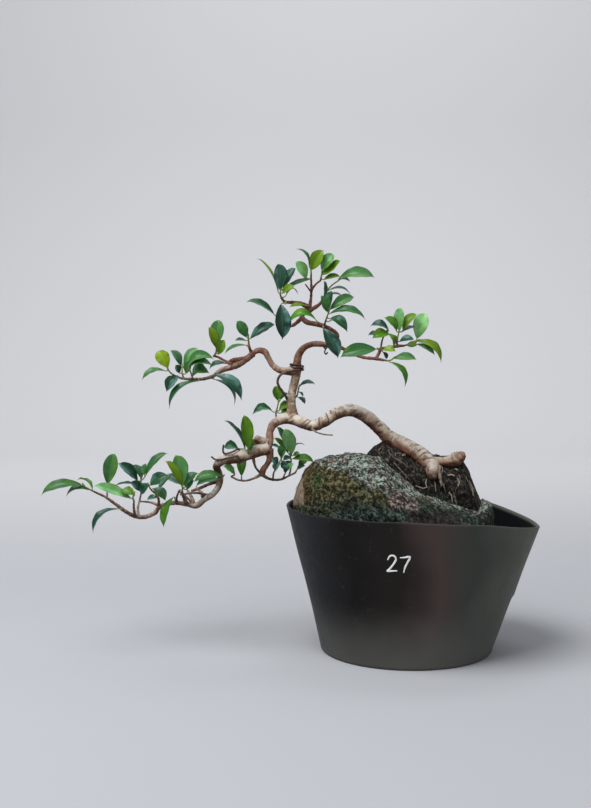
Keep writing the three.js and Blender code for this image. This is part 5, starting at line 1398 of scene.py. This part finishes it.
wire = {
    "thick": 1.3,  # the ring at the fork
    "middling": 1,
    "thin": 0.75,
    "stand": 0.3,  # how far wire stands off the bark
    "bulge": 1.07,  # how much wider than its path's radius the bark is
    "perTurn": 9,
    "spacing": 0.5,
    "sides": 14,
    "dent": 0.05,
    "graft": [  # x, z and depth along the strand that leads up to the ring at the fork
        (-124.6, 260, 10), (-127.2, 265.5, -1), (-132.5, 272.5, -4), (-134.5, 279, -3), (-131, 286, -1.5)],
    "graftRing": (0.51, 0.565, 2.1),  # where on the leader the ring starts and ends, and its turns
    "loopRing": (0.955, 0.985, 1.1),
    "loop": [(-86, 309, -9), (-84.5, 307, -8), (-83, 309, -7)],
    "low": [  # x, z and depth along the wire on the low branch, from its upright end to the bend
        (-190.4, 213, -22.5), (-191.2, 207, -22.5), (-190, 204.2, -22), (-186.5, 204.2, -24),
        (-181, 206, -24.2), (-176, 208.6, -21.5), (-173.2, 206.2, -12), (-172.8, 200, -10.2),
        (-173.2, 193.6, -14.5), (-174.2, 193.2, -22), (-174.8, 197.5, -26.6), (-176.2, 201.2, -27),
        (-181, 200.6, -26.8), (-188, 198.8, -25.6), (-194, 197.4, -22.6), (-199.5, 198, -18.5),
        (-203.2, 200.6, -17)],
}


def windings(limb, start, end, turns, thickness):
    # points that wind round a limb between two shares of its length
    points, radii = limbPath(limbs[limb], 2)
    _, normals, across = alongside(points)
    count = int(round(turns * wire["perTurn"]))
    at = mixed(start, end, np.arange(count + 1) / count) * (len(points) - 1)
    steps = np.arange(len(points))

    def along(values):
        # what a path's values are at the places asked for
        return np.stack([np.interp(at, steps, column) for column in values.T], axis=-1)

    out = wire["bulge"] * np.interp(at, steps, radii) + thickness + wire["stand"]
    turn = 2 * np.pi * np.arange(count + 1) / wire["perTurn"]
    low = np.minimum(at.astype(int), len(points) - 2)
    spoke = normals[low] * np.cos(turn)[:, None] + across[low] * np.sin(turn)[:, None]
    return along(points) + spoke * out[:, None]


def wireSkin(points, radius):
    # a round bar along a smooth curve through the points, slightly uneven
    smooth = curveThrough(points, piecesOf(stepsOf(points), wire["spacing"], 3))[0]
    uneven = radius * (1 + wire["dent"] * roughness(smooth, 3, 2, 71))
    return roundBar(smooth, uneven[:, None], wire["sides"])


def wireMaterial():
    # brown-coated aluminium, dulled, with bare spots
    material, point = newMaterial("brownWire")
    worn = noiseOf(point, 2.2, 4, 3)
    colour = rampOf(worn, (0.35, (38, 25, 19)), (0.6, (84, 58, 45)), (0.75, (146, 122, 104)))
    return finished(material, colour, shareOf(worn, -0.4, 1.6), worn, 0.08, metallic=0.35)


brownWire = wireMaterial()
graftRing = windings("leader", *wire["graftRing"], wire["thick"])
loopRing = windings("leader", *wire["loopRing"], wire["thin"])
graftRun, lowRun, loopRun = ([place(*knot) for knot in wire[key]] for key in ("graft", "low", "loop"))
for node, run, radius in (("wire_at_graft", [*graftRun, *graftRing], wire["thick"]),
        ("wire_on_low_branch", lowRun, wire["middling"]), ("wire_loop", [*loopRing, *loopRun], wire["thin"])):
    makePiece("brown_" + node, [wireSkin(np.array(run), radius)], brownWire, "wire", node)
print("wire wound")


# Leaves

leaf = {
    "rings": 42,
    "around": 26,
    "thick": 0.24,  # half thickness
    "skew": 1.25,  # more than 1 puts the widest place nearer to the tip
    "full": 0.6,  # less than 1 fills the outline out
    "cup": 0.42,  # how far the margins lift, over the half width
    "narrow": 9,  # width of a blade that is too slim to be cupped so much
    "narrowCup": 0.6,  # how much it is, as a share
    "tip": 0.965,  # share of the length at which the blade gives way to its drip tip
    "curl": 0.055,  # how far the drip tip bends down, over the length
    "curlFrom": 0.86,  # share of the length at which it starts to bend
    "curlAside": 0.7,  # how far sideways, towards its back and down it bends, by comparison
    "curlBack": 0.5,
    "curlDown": (0, 0, 0.8),
    "tipWide": 0.2,  # half width of the drip tip, and how much more for each mm of the blade's width
    "tipWider": 0.035,
    "twist": 0.3,  # how far a blade turns about its rib, in radians
    "sway": 0.03,  # how far its rib bends sideways, over the length
    "keel": 0.5,  # how far the rib stands out underneath
    "groove": 0.16,  # how deep it lies on top
    "ribWidth": 0.55,
    "veins": 74,  # how closely side veins follow each other along a blade
    "veinSlant": 14,  # how far they lean towards the tip on their way out
    "wave": 0.05,  # waviness of the margins, over the half width
    "waves": 3.3,  # how many along a blade
    "stalk": 0.62,  # radius
    "stalkBend": 0.45,  # how far before the blade a stalk turns to it, over its reach
    "stalkInto": 1.2,  # how far it runs on under the blade
    "stalkRings": 12,
    "stalkSides": 10,
    "shoot": 0.85,  # radius
    "shootSwell": 0.22,  # rings on a shoot where leaves have been
    "shootEvery": (2.2, 4),  # least and most mm from one to the next
    "shootWidth": 0.45,
    "shootSides": 12,
    "bud": 5.5,  # length
    "budLean": (0.1, 0, 0.6),
}


def bladeNormal(foot, tip, face):
    # the blade's upper side: face 0 looks at the viewer, 90 looks up and shows the blade on edge
    span = unit(tip - foot)
    viewer = unit(np.array(layout["eye"]) - foot)
    viewer = unit(viewer - viewer @ span * span)
    up = np.cross(viewer, span)
    up = up if up[2] > 0 else -up
    return viewer * np.cos(np.radians(face)) + up * np.sin(np.radians(face))


def bladeSkin(foot, tip, wide, normal, bow, tone, seed):
    # along the blade t runs 0 to 1 on an arch of height bow. Its half width is a power of the sine of pi
    # times a power of t, so it is widest past its middle, and it ends in a thin tip that bends down. A ring
    # runs round the section, whose margins lift and whose rib is keeled below
    t = (1 - np.cos(np.pi * (np.arange(leaf["rings"]) + 0.7) / (leaf["rings"] + 0.7))) / 2
    turn = turnsRound(leaf["around"])
    span = tip - foot
    size = np.linalg.norm(span)
    across = unit(np.cross(normal, span))
    chance = np.random.default_rng(seed)
    sway = chance.uniform(-leaf["sway"], leaf["sway"]) * size
    aside = chance.uniform(-leaf["curlAside"], leaf["curlAside"])
    fall = unit(across * aside - normal * leaf["curlBack"] - leaf["curlDown"]) * leaf["curl"] * size
    rib = foot + span * t[:, None] + normal * (bow * 4 * t * (1 - t))[:, None]
    rib = rib + across * (sway * np.sin(np.pi * t) * t)[:, None]
    rib = rib + fall * (np.clip((t - leaf["curlFrom"]) / (1 - leaf["curlFrom"]), 0, 1) ** 2)[:, None]
    body = np.sin(np.pi * np.clip(t / leaf["tip"], 0, 1) ** leaf["skew"]) ** leaf["full"]
    point = leaf["tipWide"] + leaf["tipWider"] * wide
    point = point * np.clip((1 - t) / (1 - leaf["tip"]), 0, 1.6) ** 0.6
    half = np.where(t > 0.8, np.maximum(wide / 2 * body, point), wide / 2 * body)
    angle = chance.uniform(-1, 1) * leaf["twist"] * (t - 0.25)[:, None]
    sideways = across * np.cos(angle) + normal * np.sin(angle)
    upwards = normal * np.cos(angle) - across * np.sin(angle)
    side, over = np.cos(turn), np.sin(turn)
    fold = leaf["cup"] if wide > leaf["narrow"] else leaf["narrowCup"] * leaf["cup"]
    lift = fold * np.abs(side) ** 1.3 * half[:, None]
    wave = np.sin(2 * np.pi * (leaf["waves"] * t + chance.uniform()))[:, None] * np.sign(side) * side**2
    lift = lift + leaf["wave"] * wave * half[:, None] * chance.uniform(0.3, 1.4)
    lift = lift + leaf["thick"] * np.sign(over) * np.abs(over) ** 0.8 * np.minimum(1, half / 1.2)[:, None]
    ribLine = hill(side * half[:, None], 0, leaf["ribWidth"]) * (1 - 0.75 * t)[:, None]
    lift = lift - ribLine * np.where(over > 0, leaf["groove"], leaf["keel"])
    points = rib[:, None] + sideways[:, None] * (side * half[:, None])[..., None]
    points = points + upwards[:, None] * lift[..., None]
    return closedSkin(points, foot - unit(span) * 0.2, tip + fall * 1.02, tone=tone, across=side,
        along=t[:, None], under=(over < -0.01) * 1.0, stalk=0.0)


plainStem = {"across": 0.0, "along": 0.0, "under": 0.0}  # a blade's values, which stems don't have


def stalkSkin(start, foot, aim, radius, tone):
    # a stalk that leaves the shoot and bends over into the blade's rib
    t = np.linspace(0, 1, leaf["stalkRings"])[:, None]
    reach = np.linalg.norm(foot - start)
    bend = foot - aim * reach * leaf["stalkBend"]
    end = foot + aim * leaf["stalkInto"]
    points = (1 - t) ** 2 * start + 2 * t * (1 - t) * bend + t**2 * end
    radii = radius * (1.12 - 0.5 * t + 0.35 * np.exp(-t * 9))
    return roundBar(points, radii, leaf["stalkSides"], tone=tone, **plainStem, stalk=1.0)


def shootStem(rows, seed):
    # the green shoot, woody at its foot and ringed where leaves have been, and the points along it
    points, _ = limbPath(rows, 0.5, 8)
    length = pathLength(points)
    chance = np.random.default_rng(seed)
    nodes = np.cumsum(chance.uniform(*leaf["shootEvery"], 30))
    swell = 1 + leaf["shootSwell"] * hill(length[:, None], nodes, leaf["shootWidth"]).sum(axis=1)
    radii = leaf["shoot"] * swell * mixed(1.15, 0.8, length / length[-1])
    woody = mixed(2.0, 1.0, length / length[-1])[:, None]
    return roundBar(points, radii[:, None], leaf["shootSides"], tone=0.4, **plainStem, stalk=woody), points


def budSkin(points, lean, tone):
    # a slim bud that carries a shoot on and leans off it a little
    t = np.linspace(0, 1, leaf["stalkRings"])
    way = unit(points[-1] - points[-3] + lean)
    path = points[-1] + way * (t * leaf["bud"])[:, None]
    radii = leaf["shoot"] * np.sin(np.pi * (0.28 + 0.7 * t)) ** 0.9
    tone = min(1.0, tone + 0.25)
    return roundBar(path, radii[:, None], leaf["stalkSides"], tone=tone, **plainStem, stalk=0.6)


def foliageSkins(shoot, seed):
    # a shoot with its leaves; the leaf nearest to the shoot's end carries the shoot on
    stemRows, leaves = shoot
    rows = [(*row, leaf["shoot"]) for row in stemRows]
    dense = limbPath(rows, 1)[0]
    stem, points = shootStem(rows, seed)
    skins = [stem]
    laid = []
    for footX, footZ, tipX, tipZ, wide, face, bow, lean, tone in leaves:
        start = dense[np.argmin(seenFrom(dense, footX, footZ) - 0.15 * np.arange(len(dense)))]
        foot = place(footX, footZ, start[1])
        tip = place(tipX, tipZ, start[1] + lean)
        laid.append((start, foot, tip, wide, bladeNormal(foot, tip, face), bow, tone))
    ending = min(range(len(laid)), key=lambda k: np.linalg.norm(laid[k][1] - dense[-1]))
    for k, (start, foot, tip, wide, normal, bow, tone) in enumerate(laid):
        start, radius = (dense[-1], leaf["shoot"] * 0.8) if k == ending else (start, leaf["stalk"])
        aim = unit(tip - foot + normal * bow * 4)
        skins.append(stalkSkin(start, foot, aim, radius, tone))
        skins.append(bladeSkin(foot, tip, wide, normal, bow, tone, seed + k))
    if len(laid) > 1:
        skins.append(budSkin(points, leaf["budLean"], laid[ending][6]))
    return skins


def leafMaterial():
    # leathery fig leaves: dark teal when old, through bluish and fresh greens to lime when young. A half of
    # a dark blade has a painted greyish-blue sheen, the other half of a bright one painted lime light, both
    # in patches, as light falls on the two sides of the fold. The rib and the fine side veins are slightly
    # pale, the margin is dark, and the underside is olive
    material, point = newMaterial("figLeaf")
    patch = noiseOf(point, 11, 2, 2)
    grain = noiseOf(point, 1.2, 2, 4)
    tone = plusOf(attributeOf(material, "tone"), mathOf("SUBTRACT", patch, 0.5), 0.16)
    colour = rampOf(tone, (0, (9, 46, 37)), (0.12, (16, 62, 46)), (0.25, (26, 76, 22)),
        (0.4, (42, 92, 42)), (0.5, (66, 120, 62)), (0.57, (130, 188, 118)), (0.63, (66, 120, 34)),
        (0.7, (48, 104, 8)), (0.85, (80, 116, 0)), (1, (124, 148, 4)))
    across = attributeOf(material, "across")
    # painted sheen: a greyish-blue reflection on one half of dark blades
    foldSheen = timesOf(shareOf(across, 0.05, 0.5), shareOf(patch, 0.34, 0.56))
    foldSheen = timesOf(foldSheen, shareOf(tone, 0.42, 0.22))
    colour = tinted(colour, foldSheen, 0.5, (96, 146, 136))
    # painted light: the other half of bright blades is lit towards lime
    foldLight = timesOf(shareOf(across, 0.1, -0.6), shareOf(patch, 0.58, 0.42))
    foldLight = timesOf(foldLight, shareOf(tone, 0.2, 0.45))
    colour = tinted(colour, foldLight, 0.4, (104, 142, 6))
    away = mathOf("ABSOLUTE", across)
    along = timesOf(attributeOf(material, "along"), leaf["veins"])
    run = plusOf(along, away, -leaf["veinSlant"])
    vein = shareOf(mathOf("ABSOLUTE", mathOf("SINE", run)), 0.3, 0.02)
    vein = timesOf(vein, shareOf(away, 0.98, 0.8))
    pale = blendOf(0.28, colour, (150, 178, 96))
    colour = tinted(colour, vein, 0.12, pale)
    colour = tinted(colour, shareOf(away, 0.08, 0.02), 0.4, pale)
    colour = tinted(colour, shareOf(away, 0.84, 1), 0.5, (12, 34, 16))
    under = blendOf(0.4, colour, (104, 122, 40))
    colour = blendOf(attributeOf(material, "under"), colour, under)
    stalk = attributeOf(material, "stalk")
    colour = blendOf(shareOf(stalk, 0.2, 0.9), colour, (106, 122, 56))
    colour = blendOf(shareOf(stalk, 1.15, 1.9), colour, (72, 56, 40))
    soft = plusOf(attributeOf(material, "under"), grain, 0.3)
    rough = spreadOf(soft, 1, 0.27, 0.55)
    return finished(material, colour, rough, plusOf(grain, vein, -1.2), 0.05, specular=0.3)


figLeaf = leafMaterial()
for k, (name, shoot) in enumerate(shoots.items()):
    makePiece("foliage_" + name, foliageSkins(shoot, 500 + 20 * k), figLeaf, "leaf", "leaves_" + name)
print("leaves grown")


# Floor, light and camera

studio = {
    "wall": (207, 207, 209),
    "floor": (160, 162, 166),
    "floorEnds": (0.2, 1.7),  # metres behind the object between which the floor pales to the wall
    "depth": 2.6,  # metres from the object to the backdrop
    "bend": 0.9,  # radius of the curve between floor and wall
    "front": -4,
    "side": 6,
    "top": 5,
    "sink": 0.0004,  # how far the floor lies below the tub's foot
    "sky": (0.82, 0.85, 0.9),
    "skyPower": 0.53,
    "lightSize": 1.5,
    "lights": {  # where each stands, its power, and the point that it looks at
        "key": ((-0.8, -0.6, 1.9), 51, (-0.11, 0, 0.2)),
        "fill": ((1.6, -1.5, 0.9), 6, (-0.11, 0, 0.2)),
        "wash": ((0.2, 1.1, 2.6), 20, (-0.11, 2.6, 0.7)),
    },
    "lens": 57.92,
    "sensor": 36,
    "farthest": 50,  # metres that the camera sees
    "cameraTilt": 85.5,
}


def makeBackdrop():
    # a floor that curves up into a wall: a profile in y and z carried along x
    turn = np.linspace(0, np.pi / 2, 24)
    bend, depth = studio["bend"], studio["depth"]
    y = np.concatenate([[studio["front"]], depth - bend + bend * np.sin(turn), [depth]])
    z = np.concatenate([[0], bend - bend * np.cos(turn), [studio["top"]]]) - studio["sink"]
    x = np.linspace(-studio["side"], studio["side"], 13)
    points = stacked(x[:, None], y, z)
    at = np.arange(points.shape[0] * points.shape[1]).reshape(points.shape[:2])
    quads = np.stack([at[:-1, :-1], at[1:, :-1], at[1:, 1:], at[:-1, 1:]], axis=-1).reshape(-1, 4)
    mesh = bpy.data.meshes.new("backdrop")
    mesh.from_pydata(points.reshape(-1, 3).tolist(), [], quads.tolist())
    mesh.polygons.foreach_set("use_smooth", np.ones(len(quads), bool))
    material, point = newMaterial("paper")
    grain = noiseOf(point, 400, 3, 1)
    split = addNode(treeOf(point), "ShaderNodeSeparateXYZ", Vector=point)
    away = shareOf(split.outputs[1], *studio["floorEnds"])
    colour = blendOf(away, studio["floor"], studio["wall"])
    mesh.materials.append(finished(material, colour, shareOf(grain, -5, 0.9), grain, 0.1))
    newObject("backdrop", mesh)


def softLight(name, at, power, aim):
    # a round area light that looks at aim
    light = bpy.data.lights.new(name, "AREA")
    light.shape = "DISK"
    light.size = studio["lightSize"]
    light.energy = power
    lamp = newObject(name, light)
    lamp.location = at
    way = np.array(aim) - np.array(at)
    lamp.rotation_euler = Vector(way).to_track_quat("-Z", "Y").to_euler()


def makeCamera():
    # a camera at the eye, whose lens and tilt give the photograph's view
    camera = bpy.data.cameras.new("view")
    camera.lens = studio["lens"]
    camera.sensor_width = studio["sensor"]
    camera.clip_end = studio["farthest"]
    eye = newObject("view", camera)
    eye.location = np.array(layout["eye"]) * metres
    eye.rotation_euler = (np.radians(studio["cameraTilt"]), 0, 0)
    bpy.context.scene.camera = eye


makeBackdrop()
for name, (at, power, aim) in studio["lights"].items():
    softLight(name, at, power, aim)
world = bpy.data.worlds.new("sky")
world.use_nodes = True
sky = world.node_tree.nodes["Background"]
sky.inputs["Color"].default_value = (*studio["sky"], 1)
sky.inputs["Strength"].default_value = studio["skyPower"]
bpy.context.scene.world = world
bpy.context.scene.view_settings.view_transform = "Standard"
makeCamera()
print("stage set")
